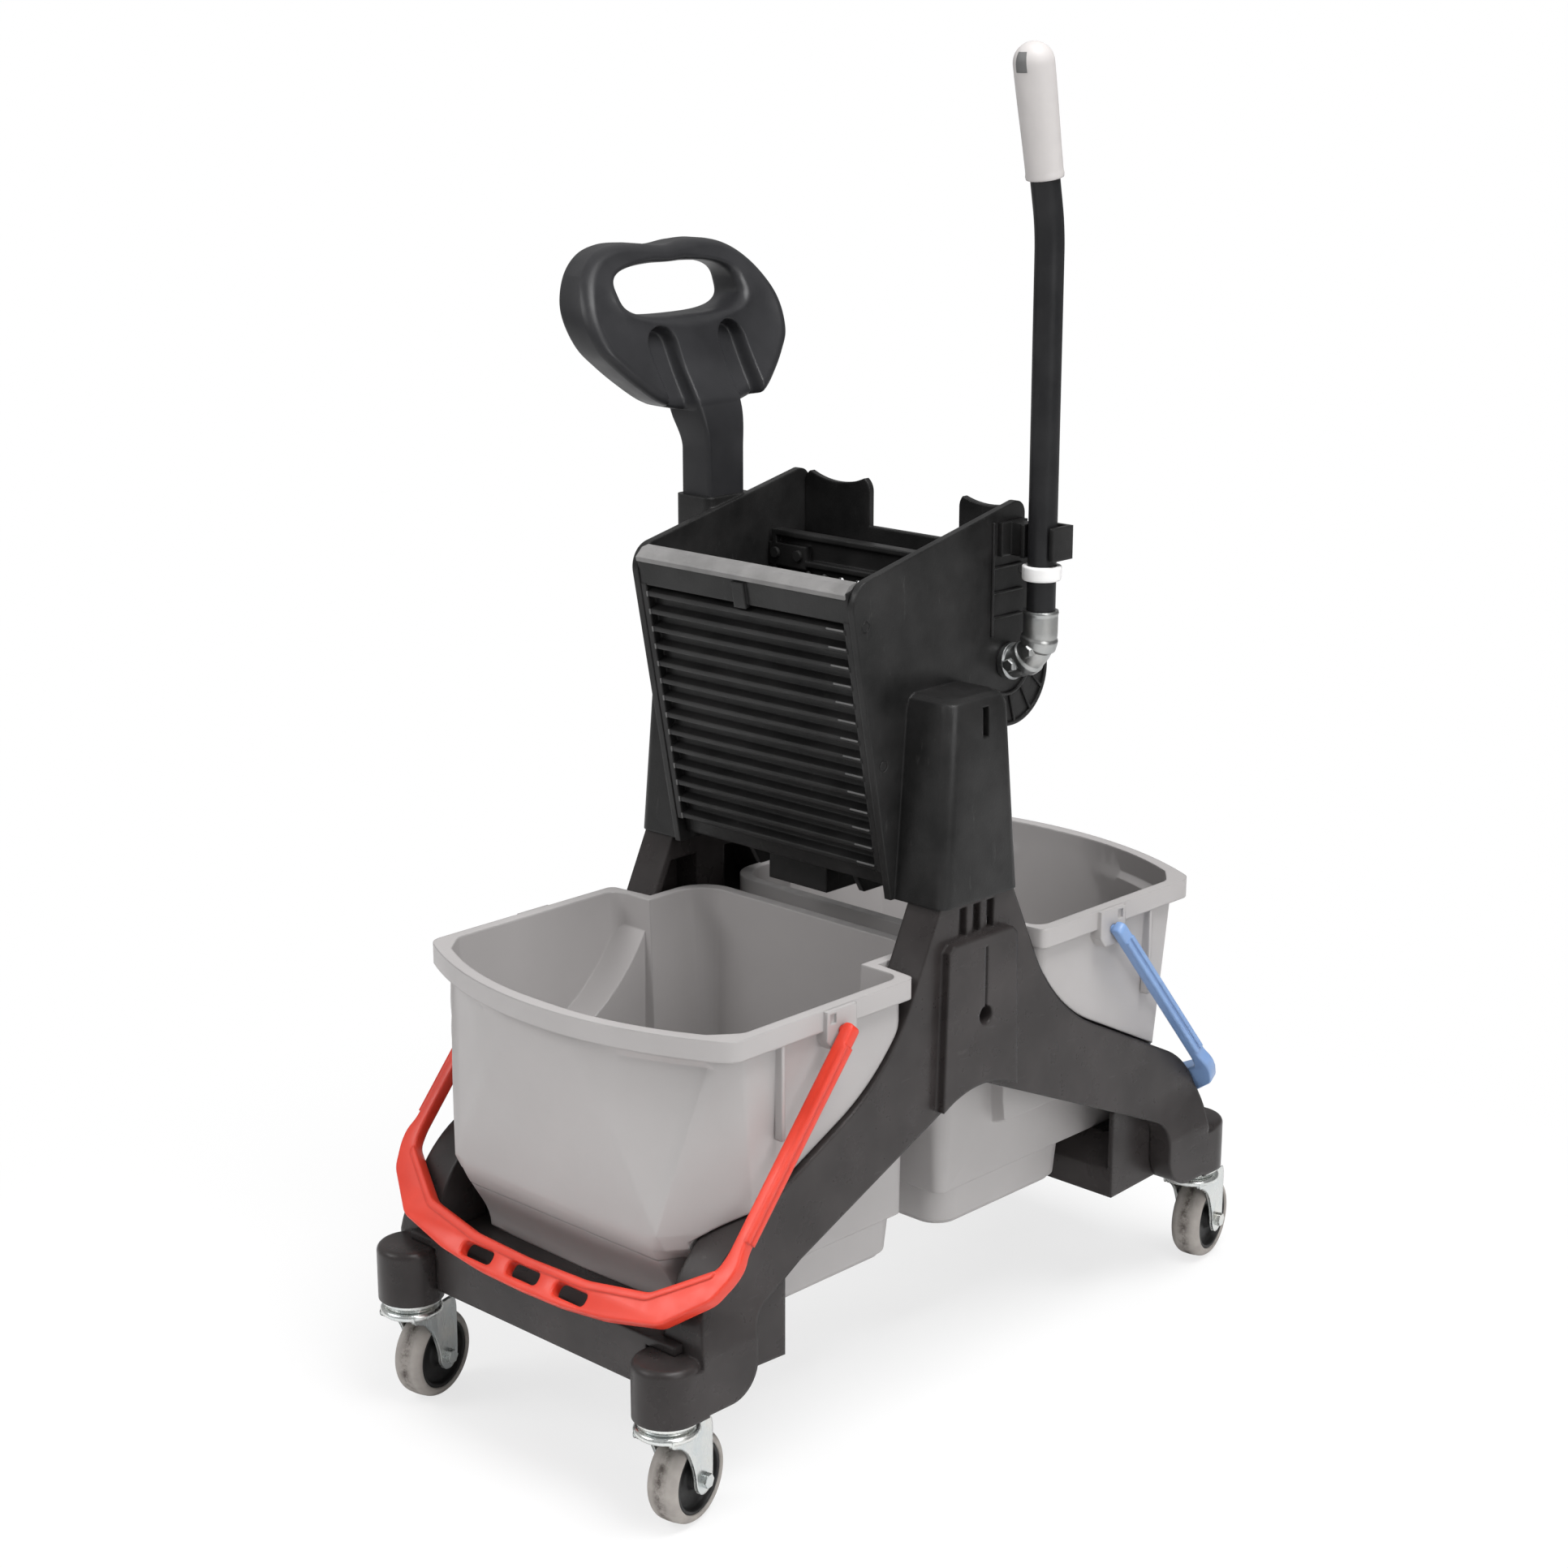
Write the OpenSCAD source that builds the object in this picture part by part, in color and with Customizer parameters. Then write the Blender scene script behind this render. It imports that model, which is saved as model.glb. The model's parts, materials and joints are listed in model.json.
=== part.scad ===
// Double mop bucket trolley: two buckets on a castor frame with a press wringer over the middle.
// Millimetres, Z up, origin on the floor at the centre of the castor footprint.
// X runs across (lever side positive), Y runs along (front bucket negative).

/* [Frame] */
// Distance across between castor centres
track = 322; // [318:1:326]
// Distance along between castor centres
wheelbase = 714; // [708:1:722]
// Thickness of each side frame
side_t = 36; // [33:1:38]
// Height of the frame posts
post_top = 600; // [585:1:605]
// Deck height of the crossbeams, where the bucket noses rest
deck_z = 163; // [161:1:165]
// Wall of the crossbeam channels
beam_wall = 5; // [4:0.5:6]

/* [Castors] */
// Wheel diameter
wheel_d = 80; // [76:1:82]
// Tyre width
wheel_w = 29; // [25:1:30]
// Floor to underside of the frame bosses
castor_h = 105; // [104:1:107]
// Stem diameter
stem_d = 11; // [10:0.5:12]
// Offset of the axle behind the swivel axis
trail = 26; // [23:1:28]
// Direction the wheels trail, seen from above
castor_dir = 102; // [90:1:120]

/* [Buckets] */
// Bucket wall
bucket_wall = 3; // [2.5:0.1:3.5]
// Height of the bucket rims
rim_z = 414; // [412:1:416]
// Width across the rims
rim_w = 370; // [368:1:372]
// Depth of the turned-down rim band
rim_band = 18; // [14:1:22]

/* [Bails] */
// Reach of the bail from its pivots
bail_reach = 297; // [292:1:299]
// Thickness of the bail
bail_t = 13; // [11:1:15]
// Pivot pin diameter
bail_pin = 8; // [7:0.5:9]

/* [Wringer] */
// Clear width between the side plates
hopper_w = 248; // [244:1:250]
// Height of the hopper bottom
hopper_z = 463; // [462:1:466]
// Number of ribs on the front wall
rib_count = 14; // [11:1:15]
// Thickness of the press plate
press_t = 12; // [10:1:13]

/* [Press drive] */
// Teeth on a full circle of the sector gears
gear_teeth = 22; // [20:1:22]
// Module of the gear teeth
gear_module = 4; // [3.8:0.1:4]
// Face width of the gears
gear_w = 16; // [12:1:18]
// Shaft diameter
shaft_d = 20; // [18:1:20]

/* [Lever] */
// Lever tube diameter
lever_d = 25; // [22:1:26]
// Height of the bend in the lever
lever_bend_z = 1000; // [960:5:1020]
// Length of the hand grip
grip_len = 112; // [90:2:125]
// Grip diameter
grip_d = 34; // [30:1:38]

/* [Push handle] */
// Height where the handle column starts to lean
neck_z = 832; // [815:1:850]
// Lean of the handle loop
lean = 26; // [18:1:28]
// Half width of the loop
loop_half = 121; // [112:1:124]

/* [Hidden] */
$fn = 64;

// Frame outline, as lines with a point and a heading, clockwise from the top of the post
bx = track / 2;
by = wheelbase / 2;
side_in = bx - side_t / 2;
side_out = bx + side_t / 2;
boss_r = 29;
boss_h = 50;
boss_top = castor_h + boss_h;
boss_edge = 6;
boss_out = bx + boss_r;
leg_out = by - 14;
leg_in = leg_out - 62;
leg_bottom = castor_h + 2;
leg_flare_z = boss_top + 45;
shoulder_z = 217;
shoulder_r = 105;
hollow_r = 190;
apex_z = 297;
post_half = 32;
saddle_half = 48;
post_slope = atan2(hopper_z - post_top, saddle_half - post_half);
flank_slope = -64.5;
arm_slope = -26.5;
under_slope = 180 - 23.8;
outline = [[[0, post_top], 0], [[post_half, post_top], post_slope], [[saddle_half, hopper_z], flank_slope],
           [[leg_out, shoulder_z], arm_slope], [[leg_out, shoulder_z], -90], [[leg_out, leg_bottom], 180],
           [[leg_in, leg_bottom], 90], [[0, apex_z], under_slope], [[0, apex_z], 90]];

// Crossbeams, their ends let into pockets in the side frames
beam_y0 = 223;
beam_y1 = 352;
beam_half = side_in + 22;
beam_lug_z = 206;
beam_foot = 6;
beam_cut = 25;
beam_rib_x = 45;
beam_rib_t = 4;
bolt_ys = [leg_in + 10, leg_in + 34];
bolt_z = castor_h + 33;
bolt_d = 8;
bolt_grip = 10;
bolt_head = 15;
bolt_head_t = 6;

// Panel, hole for accessories, slots and pockets of the side frame
panel_t = 9;
panel_half = 50;
panel_top = 430;
hole_y = 4;
hole_z = 358;
hole_d = 17;
groove_w = 3;
groove_deep = 2;
slot_w = 10;
slot_h = 26;
skin = 8;
pocket_wall = 7;
rib_t = 4;
stem_in = 40;

// Castor heights
axle_z = wheel_d / 2;
race_z = castor_h - 6;
crown_z = race_z - 9;
fork_t = 3;
fork_gap = wheel_w / 2 + 1.5;
fork_r = 23;
axle_d = 8;
core_d = wheel_d - 18;
fork_end_r = 12;
corners = [[1, -1], [-1, -1], [1, 1], [-1, 1]];

// Bucket heights and plans
rim_t = 3;
rim_in_y = 14;
rim_out_r = 18;
neck_half = rim_w / 2 - 46;
notch_y0 = 82;
notch_y1 = 87;
bulge_y = 352;
bulge_r = 367;
wall_in = 7;
tip_z = 240;
tip_y = 332;
tip_half = 125;
chamfer_y = 268;
nose_half = 121;
nose_y = 297;
well_y = 213;
well_z = 126;
arch_gap = 2.5;
trunk_half = side_in - 4.5;
lug_y = 181;
lug_x = rim_w / 2 + 4;
lug_half = 18;
pivot_z = rim_z - 20;

// Bail, resting on the frame shoulders
bail_in = lug_x + 2;
bail_out = bail_in + 13;
bail_bar = 28;
bail_gap = 0.6;
pin_gap = 0.1;

// Wringer
hx = hopper_w / 2;
cheek_t = 7;
saddle_in = hx + cheek_t;
saddle_out = side_out + 6;
saddle_top = 640;
fit = 0.1;
front_y = -57;
front_lean = 10.8;
front_len = 282;
front_t = 6;
rib_depth = 9;
top_rear_z = 790;
back_y = 107;
back_t = 6;
back_z = 742;
shaft_y = 93;
shaft_z = 648;
lobe_r = 48;
lobe = [shaft_y + 6, shaft_z - 12];
floor_z = hopper_z + 6;
floor_t = 8;
bush_d = shaft_d + 8;
turn_gap = 0.1;
screw_d = 4;
screw_head = 9;
screw_head_t = 3;
rib_z0 = 24;
rib_z1 = 250;
band_z = 277;
border = 7;
front_screws = [120, 245];

// Press drive
gear_r = gear_module * gear_teeth / 2;
gear_x = 100;
press_y = 58;
press_z = floor_z + floor_t + 6;
press_top = 737;
press_half = hx - 5;
rack_pitch_z = shaft_z + gear_r;
tooth_step = PI * gear_module;
backlash = 0.5;
rack_top = rack_pitch_z + 19;
rack_end = shaft_y + 78;
rack_half = gear_w / 2 + 2;
screw_z = 716;
screw_dx = 14;
rack_screw = 5;
pad_half = 23;
pad_t = 6;
pad_h = 21;

// Lever
lever_x = 167;
elbow_r = 32;
elbow_start = lever_x - elbow_r;
elbow_d = lever_d + 5;
bend_r = 200;
bend_a = 11;
bend_tail = 130;
collar_z = 724;
collar_h = 13;
clip_z = 742;
clip_h = 29;

// Push handle
col_x = -(saddle_in + 20.5);
col_y = 15;
col_w = 36;
col_l = 46;
socket_top = 772;
socket_wall = 5;
col_r = 8;
loop_t = 40;
groove_in = 16;
groove_y = 43;
groove_half = 15;
groove_top = 76;

// Point where two lines meet, each given by a point and a heading
function meet(p, a, q, b) =
    let (t = ((q[0] - p[0]) * sin(b) - (q[1] - p[1]) * cos(b)) / sin(b - a))
    [p[0] + t * cos(a), p[1] + t * sin(a)];

// Line number i of the frame outline moved inward by e
function inset_point(i, e) = outline[i][0] + e * [cos(outline[i][1] - 90), sin(outline[i][1] - 90)];

// Corner between outline line i and the next one, both moved inward by e
function corner(i, e) = meet(inset_point(i, e), outline[i][1],
                             inset_point(i + 1, e), outline[i + 1][1]);

// The bail leans on the shoulder arc: angle below level of the line from its pivot past the arc
shoulder = corner(3, shoulder_r) - [lug_y, pivot_z];
bail_rest = -atan2(shoulder[1], shoulder[0]) - asin((shoulder_r + bail_t / 2 + bail_gap) / norm(shoulder));

// Screws through the side plates into the front wall and the rear rail
hopper_holes = [front_point(front_screws[0], 12), front_point(front_screws[1], 12),
                [back_y + back_t / 2, back_z - 14]];

// Point on the leaning front wall, t up the slope and d behind the front edge
function front_point(t, d) = [front_y - t * sin(front_lean) + d * cos(front_lean),
                              hopper_z + t * cos(front_lean) + d * sin(front_lean)];

// The sliver between a corner at v and the arc of radius r that rounds it
module web(v, a1, a2, r) {
    d1 = [cos(a1), sin(a1)];
    d2 = [cos(a2), sin(a2)];
    h = acos(d1 * d2) / 2;
    m = (d1 + d2) / norm(d1 + d2);
    c = v + m * r / sin(h);
    difference() {
        polygon([v - 2 * m, v + d1 * r / tan(h), c, v + d2 * r / tan(h)]);
        translate(c) circle(r + 0.02, $fn = 96);
    }
}

// Rounds outline corner i: filled where it is hollow, cut where it stands out
module corner_web(i, e, r) {
    web(corner(i, e), outline[i][1] + 180, outline[i + 1][1], r);
}

// Half of the side frame outline, all edges moved inward by e
module frame_half(e) {
    difference() {
        union() {
            polygon([[0, post_top - e], corner(0, e), corner(1, e), corner(2, e), corner(3, e), corner(4, e),
                     corner(5, e), corner(6, e), [0, apex_z + e / cos(180 - under_slope)]]);
            corner_web(2, e, hollow_r + e);
            corner_web(6, e, 24 + e);
        }
        corner_web(0, e, 8);
        corner_web(3, e, shoulder_r - e);
        corner_web(5, e, 30 - e);
    }
}

module frame_outline(e) {
    frame_half(e);
    mirror([1, 0]) frame_half(e);
    web([0, apex_z + e / cos(180 - under_slope)], under_slope + 180, -under_slope, 40 + e);
}

// Everything under the top edge of the frame arms, grown outward by g
module under_arms(g) {
    difference() {
        union() {
            polygon([[0, 0], [0, post_top + g], corner(0, -g), corner(1, -g), corner(2, -g), corner(3, -g),
                     [leg_out + g, 0]]);
            corner_web(2, -g, hollow_r - g);
        }
        corner_web(3, -g, shoulder_r + g);
    }
}

// A flat shape drawn in Y and Z, thickened from x0 to x1
module slab(x0, x1) {
    translate([x0, 0, 0]) rotate([90, 0, 90]) linear_extrude(x1 - x0) children();
}

// Rectangle with round corners, centred across, from y0 to y1
module round_plan(half, y0, y1, r) {
    translate([-half, y0 + r]) square([2 * half, y1 - y0 - 2 * r]);
    translate([-half + r, y0]) square([2 * half - 2 * r, y1 - y0]);
    for (s = [-1, 1]) for (y = [y0 + r, y1 - r]) translate([s * (half - r), y]) circle(r);
}

module bar_x(y, z, d, x0, x1) {
    translate([x0, y, z]) rotate([0, 90, 0]) cylinder(d = d, h = x1 - x0);
}

// Side frame on the lever side
module side_frame() {
    difference() {
        union() {
            difference() {
                flared_frame();
                for (s = [0, 1]) mirror([0, s, 0]) slab(side_in - 1, beam_half) {
                    beam_outline(0);
                    beam_end();
                }
            }
            for (s = [0, 1]) mirror([0, s, 0]) translate([bx, by, castor_h]) boss();
            slab(side_out - 1, side_out + panel_t) post_panel();
        }
        slab(side_in - 1, side_out - skin) pockets();
        slab(side_out - skin, side_out + 1) post_slots();
        slab(side_out + panel_t - groove_deep, side_out + panel_t + 1)
            translate([hole_y - groove_w / 2, hole_z]) square([groove_w, panel_top - 10 - hole_z]);
        bar_x(hole_y, hole_z, hole_d, side_in - 1, side_out + panel_t + 1);
        for (s = [0, 1]) mirror([0, s, 0]) {
            translate([bx, by, castor_h - 1]) cylinder(d = stem_d, h = stem_in + 1);
            for (y = bolt_ys) bar_x(y, bolt_z, bolt_d, beam_half - 1, beam_half + bolt_grip);
        }
    }
}

// Plate of the frame outline whose legs grow outward until they are flush with the bosses
module flared_frame() {
    intersection() {
        slab(side_in, boss_out) frame_outline(0);
        translate([0, by, 0]) rotate([90, 0, 0]) linear_extrude(2 * by)
            polygon([[0, 0], [boss_out, 0], [boss_out, boss_top], [side_out, leg_flare_z],
                     [side_out, post_top + 1], [0, post_top + 1]]);
    }
}

// Castor boss, round towards the end of the trolley and square towards the leg
module boss() {
    h = boss_top - castor_h;
    rotate_extrude() {
        square([boss_r - boss_edge, h]);
        square([boss_r, h - boss_edge]);
        translate([boss_r - boss_edge, h - boss_edge]) circle(boss_edge);
    }
    translate([beam_half - bx, leg_out - by - 6, 0])
        cube([boss_out - beam_half, by - leg_out + 6, h - boss_edge]);
}

// Raised pad on the outer face under the wringer, arched at its foot
module post_panel() {
    foot = panel_half;
    top = panel_half - 5;
    cut = 6;
    difference() {
        polygon([[-foot, 273], [-top, panel_top - cut], [cut - top, panel_top], [top - cut, panel_top],
                 [top, panel_top - cut], [foot, 273]]);
        translate([0, 195]) circle(100);
    }
}

module post_slots() {
    for (y = [-18, 0, 18]) translate([y - slot_w / 2, panel_top + 2]) square([slot_w, slot_h]);
}

// Moulding pockets in the inner face, split by ribs, clear of the beams and the post
module pockets() {
    end = beam_y0 - 4;
    for (s = [0, 1]) mirror([s, 0]) difference() {
        intersection() {
            frame_half(pocket_wall);
            polygon([[18, 290], [18, 440], [60, 440], [end, 300], [end, 180]]);
        }
        for (y = [70, 130, 190]) translate([y - rib_t / 2, 0]) square([rib_t, post_top]);
    }
}

// Crossbeam at the rear; the front one is the same piece turned round
module beam() {
    difference() {
        union() {
            slab(-beam_half, beam_half) difference() {
                beam_outline(0);
                beam_outline(beam_wall);
            }
            for (s = [0, 1]) mirror([s, 0, 0]) {
                slab(beam_rib_x, beam_rib_x + beam_rib_t) beam_outline(0);
                slab(beam_half - beam_wall, beam_half) {
                    beam_outline(0);
                    beam_end();
                }
            }
        }
        for (s = [0, 1]) mirror([s, 0, 0]) {
            translate([bx, by, castor_h - 1]) cylinder(r = boss_r + 0.4, h = boss_top - castor_h + 1.4);
            for (y = bolt_ys) bar_x(y, bolt_z, bolt_d, beam_half - beam_wall - 1, beam_half + 1);
        }
    }
}

// Section of the crossbeam, open below when moved inward by its wall
module beam_outline(e) {
    top = deck_z - e;
    cut = e * tan(22.5);
    foot = e > 0 ? 0 : beam_foot;
    polygon([[beam_y0 + e, castor_h + foot], [beam_y0 + e, deck_z - beam_cut - cut],
             [beam_y0 + beam_cut + cut, top], [beam_y1 - e, top], [beam_y1 - e, castor_h + 2 * foot]]);
}

// End plate of the crossbeam, which reaches up into the arm
module beam_end() {
    foot = deck_z - beam_cut - 8;
    polygon([[beam_y0, foot], [beam_y0, beam_lug_z - 10], [beam_y0 + 10, beam_lug_z],
             [leg_in - 12, beam_lug_z - 20], [leg_in + 4, beam_lug_z - 32], [leg_in + 4, foot]]);
}

// Bolts that hold the crossbeams, heads inside the channels
module bolts() {
    seat = beam_half - beam_wall;
    for (sx = [0, 1]) mirror([sx, 0, 0]) for (s = [-1, 1]) for (y = bolt_ys) {
        bar_x(s * y, bolt_z, bolt_d, seat - 1, beam_half + bolt_grip);
        translate([seat - bolt_head_t, s * y, bolt_z]) rotate([0, 90, 0])
            cylinder(d = bolt_head, h = bolt_head_t, $fn = 6);
    }
}

// Castor pieces, drawn round the swivel axis with the wheel trailing towards +X
module at_castor(s) {
    translate([s[0] * bx, s[1] * by, 0]) rotate([0, 0, castor_dir]) children();
}

module stem() {
    translate([0, 0, crown_z - 3]) cylinder(d = stem_d, h = castor_h + stem_in - crown_z + 3);
    translate([0, 0, race_z]) cylinder(d1 = 2 * boss_r - 8, d2 = 2 * boss_r - 4, h = castor_h - race_z);
    translate([0, 0, crown_z - 6]) cylinder(d = stem_d + 8, h = 5.6);
}

module fork() {
    difference() {
        union() {
            rotate_extrude() {
                translate([0, crown_z]) square([fork_r + 5, 4]);
                translate([0, crown_z]) square([fork_r, race_z - crown_z - 0.4]);
                translate([fork_r, crown_z + 3.6]) circle(5, $fn = 48);
            }
            for (y = [-fork_gap, fork_gap + fork_t]) translate([0, y, 0]) rotate([90, 0, 0])
                linear_extrude(fork_t) fork_leg();
        }
        translate([0, 0, crown_z - 20]) cylinder(d = stem_d + turn_gap, h = 60);
        translate([0, 0, crown_z - 20]) cylinder(d = stem_d + 9, h = 20);
        at_wheel() {
            cylinder(d = axle_d, h = 80, center = true);
            cylinder(r = wheel_d / 2 + 1.5, h = 2 * fork_gap, center = true);
        }
    }
}

// Leg of the fork: upright behind, hollowed in front, round at the axle
module fork_leg() {
    side = fork_end_r - 0.3;
    back = trail + side;
    top = crown_z + 4;
    polygon([[-fork_r, top], [back - 4, top], [back, top - 4], [back, axle_z], [trail - side, axle_z],
             [trail - side - 2, axle_z + 16], [6, crown_z - 20], [-6, crown_z - 8], [-fork_r, crown_z]]);
    translate([trail, axle_z]) circle(fork_end_r);
}

// Places things round the axle of the wheel
module at_wheel() {
    translate([trail, 0, axle_z]) rotate([90, 0, 0]) children();
}

module axle() {
    reach = fork_gap + fork_t;
    at_wheel() {
        cylinder(d = axle_d, h = 2 * reach + 8, center = true);
        translate([0, 0, reach]) cylinder(d = 13, h = 5, $fn = 6);
        translate([0, 0, -reach - 3]) cylinder(d = 14, h = 3);
    }
}

// Hub with a dished face on both sides
module core() {
    hole = axle_d / 2 + turn_gap / 2;
    web_half = 7;
    at_wheel() rotate_extrude() difference() {
        translate([hole, 1 - wheel_w / 2]) square([core_d / 2 - hole, wheel_w - 2]);
        for (s = [0, 1]) mirror([0, s]) polygon([[12, web_half], [core_d / 2 - 5, web_half],
                                                 [core_d / 2 - 3, wheel_w], [10, wheel_w]]);
    }
}

module tyre() {
    edge = 7;
    thick = wheel_d / 2 - core_d / 2;
    at_wheel() rotate_extrude() difference() {
        union() {
            translate([core_d / 2, -wheel_w / 2]) square([thick - edge, wheel_w]);
            translate([core_d / 2, edge - wheel_w / 2]) square([thick, wheel_w - 2 * edge]);
            for (s = [-1, 1]) translate([wheel_d / 2 - edge, s * (wheel_w / 2 - edge)]) circle(edge);
        }
        translate([0, -wheel_w]) square([core_d / 2, 2 * wheel_w]);
    }
}

// Rim plan of the rear bucket, moved inward by e
module rim_plan(e) {
    half = rim_w / 2 - e;
    neck = neck_half - e;
    bow_r = bulge_r - e;
    side_y = bulge_y - bulge_r + sqrt(bow_r * bow_r - half * half);
    side_a = 90 + acos(half / bow_r) + 0.8;
    notch_a = atan2(notch_y0 - notch_y1, neck - half);
    difference() {
        intersection() {
            polygon([[neck, rim_in_y + e], [neck, notch_y0 + e], [half, notch_y1 + e], [half, bulge_r],
                     [-half, bulge_r], [-half, notch_y1 + e], [-neck, notch_y0 + e], [-neck, rim_in_y + e]]);
            translate([0, bulge_y - bulge_r]) circle(bow_r, $fn = 180);
        }
        for (s = [0, 1]) mirror([s, 0]) {
            web([neck, rim_in_y + e], 180, 90, 35 - e);
            web([half, notch_y1 + e], notch_a, 90, 8);
            web([half, side_y], side_a, -90, rim_out_r - e);
        }
    }
}

// Thin plate at height z: a round-cornered plan whose outer edge bows out
module plate(z, half, y0, y1, bow, r) {
    bow_r = (half * half + bow * bow) / (2 * bow);
    translate([0, 0, z]) linear_extrude(0.5) {
        for (s = [-1, 1]) for (y = [y0 + r, y1 - r]) translate([s * (half - r), y]) circle(r, $fn = 28);
        intersection() {
            translate([0, y1 + bow - bow_r]) circle(bow_r, $fn = 120);
            translate([-half + r, y1 - r - 1]) square([2 * half - 2 * r, bow + r + 2]);
        }
    }
}

// Thin plate at height z: straight front from y1 back to the sides at y0 by a chamfer
module cut_plate(z, half, y_in, y0, front, y1) {
    translate([0, 0, z]) linear_extrude(0.5)
        polygon([[half, y_in], [half, y0], [front, y1], [-front, y1], [-half, y0], [-half, y_in]]);
}

// Outer shape of a bucket moved inward by e, with its floors lifted by e
module bucket_mass(e) {
    top = rim_z - rim_t + (e > 0 ? 20 : 0);
    back = notch_y1 + 2 + e;
    hull() {
        plate(top, rim_w / 2 - wall_in - e, back, 295 - e, 49, 16);
        cut_plate(tip_z + e, rim_w / 2 - 13 - e, back + 2, chamfer_y - e, tip_half - e, tip_y - e);
        cut_plate(tip_z - 14 + e, 150 - e, back + 4, chamfer_y + 24 - e, tip_half + 2 - e, tip_y - 8 - e);
        plate(tip_z - 26 + e, nose_half + 9 - e, back + 6, tip_y - 26 - e, 3, 10);
    }
    hull() {
        plate(top, neck_half - wall_in + 1 - e, rim_in_y + wall_in + e, nose_y + 3 - e, 30, 30);
        plate(deck_z + e, nose_half - e, 24 + e, nose_y - e, 3, 10);
    }
    hull() {
        plate(deck_z + 42, nose_half + 2 - e, 26 + e, well_y + 1 - e, 1, 24);
        plate(well_z + 4 + e, nose_half - 5 - e, 30 + e, well_y - 2 - e, 1, 24);
    }
}

// Rear bucket; the front one is the same piece turned round
module bucket() {
    difference() {
        union() {
            difference() {
                bucket_mass(0);
                over_arms(arch_gap, trunk_half);
            }
            translate([0, 0, well_z]) linear_extrude(5) round_plan(nose_half - 9, 34, well_y - 6, 22);
            translate([0, 0, rim_z - rim_band]) linear_extrude(rim_band) difference() {
                rim_plan(0);
                rim_plan(rim_t);
            }
            translate([0, 0, rim_z - rim_t]) linear_extrude(rim_t) rim_plan(0);
            for (s = [0, 1]) mirror([s, 0, 0]) lug();
        }
        difference() {
            bucket_mass(bucket_wall);
            over_arms(arch_gap + bucket_wall, trunk_half - bucket_wall);
        }
        for (s = [0, 1]) mirror([s, 0, 0])
            bar_x(lug_y, pivot_z, bail_pin + 2 * pin_gap, lug_x - 11, lug_x + 1);
    }
}

module over_arms(g, x0) {
    for (s = [0, 1]) mirror([s, 0, 0]) slab(x0, x0 + 80) under_arms(g);
}

// Pivot block under the rim, with a stiffening rib beside it
module lug() {
    x0 = rim_w / 2 - wall_in - 2;
    top = rim_z - 1;
    difference() {
        slab(x0, lug_x) translate([lug_y, 0])
            polygon([[-lug_half, top], [-lug_half, pivot_z - 6], [7 - lug_half, pivot_z - 15],
                     [lug_half - 7, pivot_z - 15], [lug_half, pivot_z - 6], [lug_half, top]]);
        slab(lug_x - 2, lug_x + 1) translate([lug_y + 7, rim_z - 12]) square([7, 8]);
    }
    slab(x0, rim_w / 2 - 1) translate([lug_y + 62, rim_z - rim_band - 82]) square([4, 84]);
}

// Rear bail, leaning on the frame shoulders; the front one is the same piece turned round
module bail() {
    translate([0, lug_y, pivot_z]) {
        rotate([-bail_rest, 0, 0]) translate([0, 0, -bail_t / 2]) difference() {
            linear_extrude(bail_t) bail_outline();
            for (s = [0, 1]) mirror([s, 0, 0]) translate([bail_out - 2, 14, bail_t / 2 - 2])
                cube([3, 170, 4]);
        }
        for (s = [0, 1]) mirror([s, 0, 0]) bar_x(0, 0, bail_pin, lug_x - 9, bail_in + 1);
    }
}

module bail_outline() {
    low = bail_reach;
    top = low - bail_bar;
    arm = bail_out - bail_in;
    slot_d = 13;
    difference() {
        union() {
            for (s = [0, 1]) mirror([s, 0]) {
                translate([bail_in, 0]) square([arm, low - 90]);
                translate([bail_in + arm / 2, 0]) circle(d = arm + 0.4);
                polygon([[bail_in, low - 92], [bail_out, low - 97], [bail_out + 7, low - 82],
                         [bail_out + 5, low - 70], [bail_out - 4, low - 47], [161, low - 16], [136, low - 41],
                         [156, low - 55], [bail_in - 3, low - 78]]);
            }
            polygon([[-161, low - 16], [-100, low - 5], [-50, low - 1], [0, low], [50, low - 1],
                     [100, low - 5], [161, low - 16], [136, low - 41], [70, top - 2], [0, top],
                     [-70, top - 2], [-136, low - 41]]);
        }
        for (x = [-58, 0, 58]) {
            translate([x - 11, low - 14 - slot_d / 2]) square([22, slot_d]);
            for (d = [-11, 11]) translate([x + d, low - 14]) circle(d = slot_d + 0.04);
        }
    }
}

// Side plate of the wringer with the saddle that drops over the post
module wringer_side() {
    difference() {
        union() {
            slab(hx, saddle_in) cheek_outline();
            saddle();
        }
        slab(side_in - fit, side_out + fit) intersection() {
            frame_outline(-fit);
            translate([-60, 0]) square([120, post_top + fit]);
        }
        slab(saddle_in + 3, side_in - 3) translate([-26, hopper_z - 1]) square([52, 120]);
        bar_x(shaft_y, shaft_z, bush_d, hx - 1, saddle_in + 1);
        for (p = hopper_holes) {
            bar_x(p[0], p[1], screw_d, hx - 1, saddle_in + 1);
            bar_x(p[0], p[1], screw_head, saddle_in - screw_head_t, saddle_in + 1);
        }
    }
}

module cheek_outline() {
    top_front = front_point(front_len, 0);
    rear = back_y + back_t;
    top_slope = atan2(top_rear_z - top_front[1], rear - top_front[0]);
    lobe_a = 15;
    lobe_side = lobe + lobe_r * [cos(lobe_a), sin(lobe_a)];
    difference() {
        union() {
            polygon([[front_y, hopper_z], top_front, [rear, top_rear_z],
                     meet(lobe_side, lobe_a + 90, [rear, 0], 90), lobe_side, lobe,
                     [lobe[0] - 12, lobe[1] - lobe_r + 4], [46, hopper_z]]);
            translate(lobe) circle(lobe_r);
        }
        web(top_front, 270 + front_lean, top_slope, 22);
        web([rear, top_rear_z], 180 + top_slope, 270, 12);
    }
}

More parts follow.
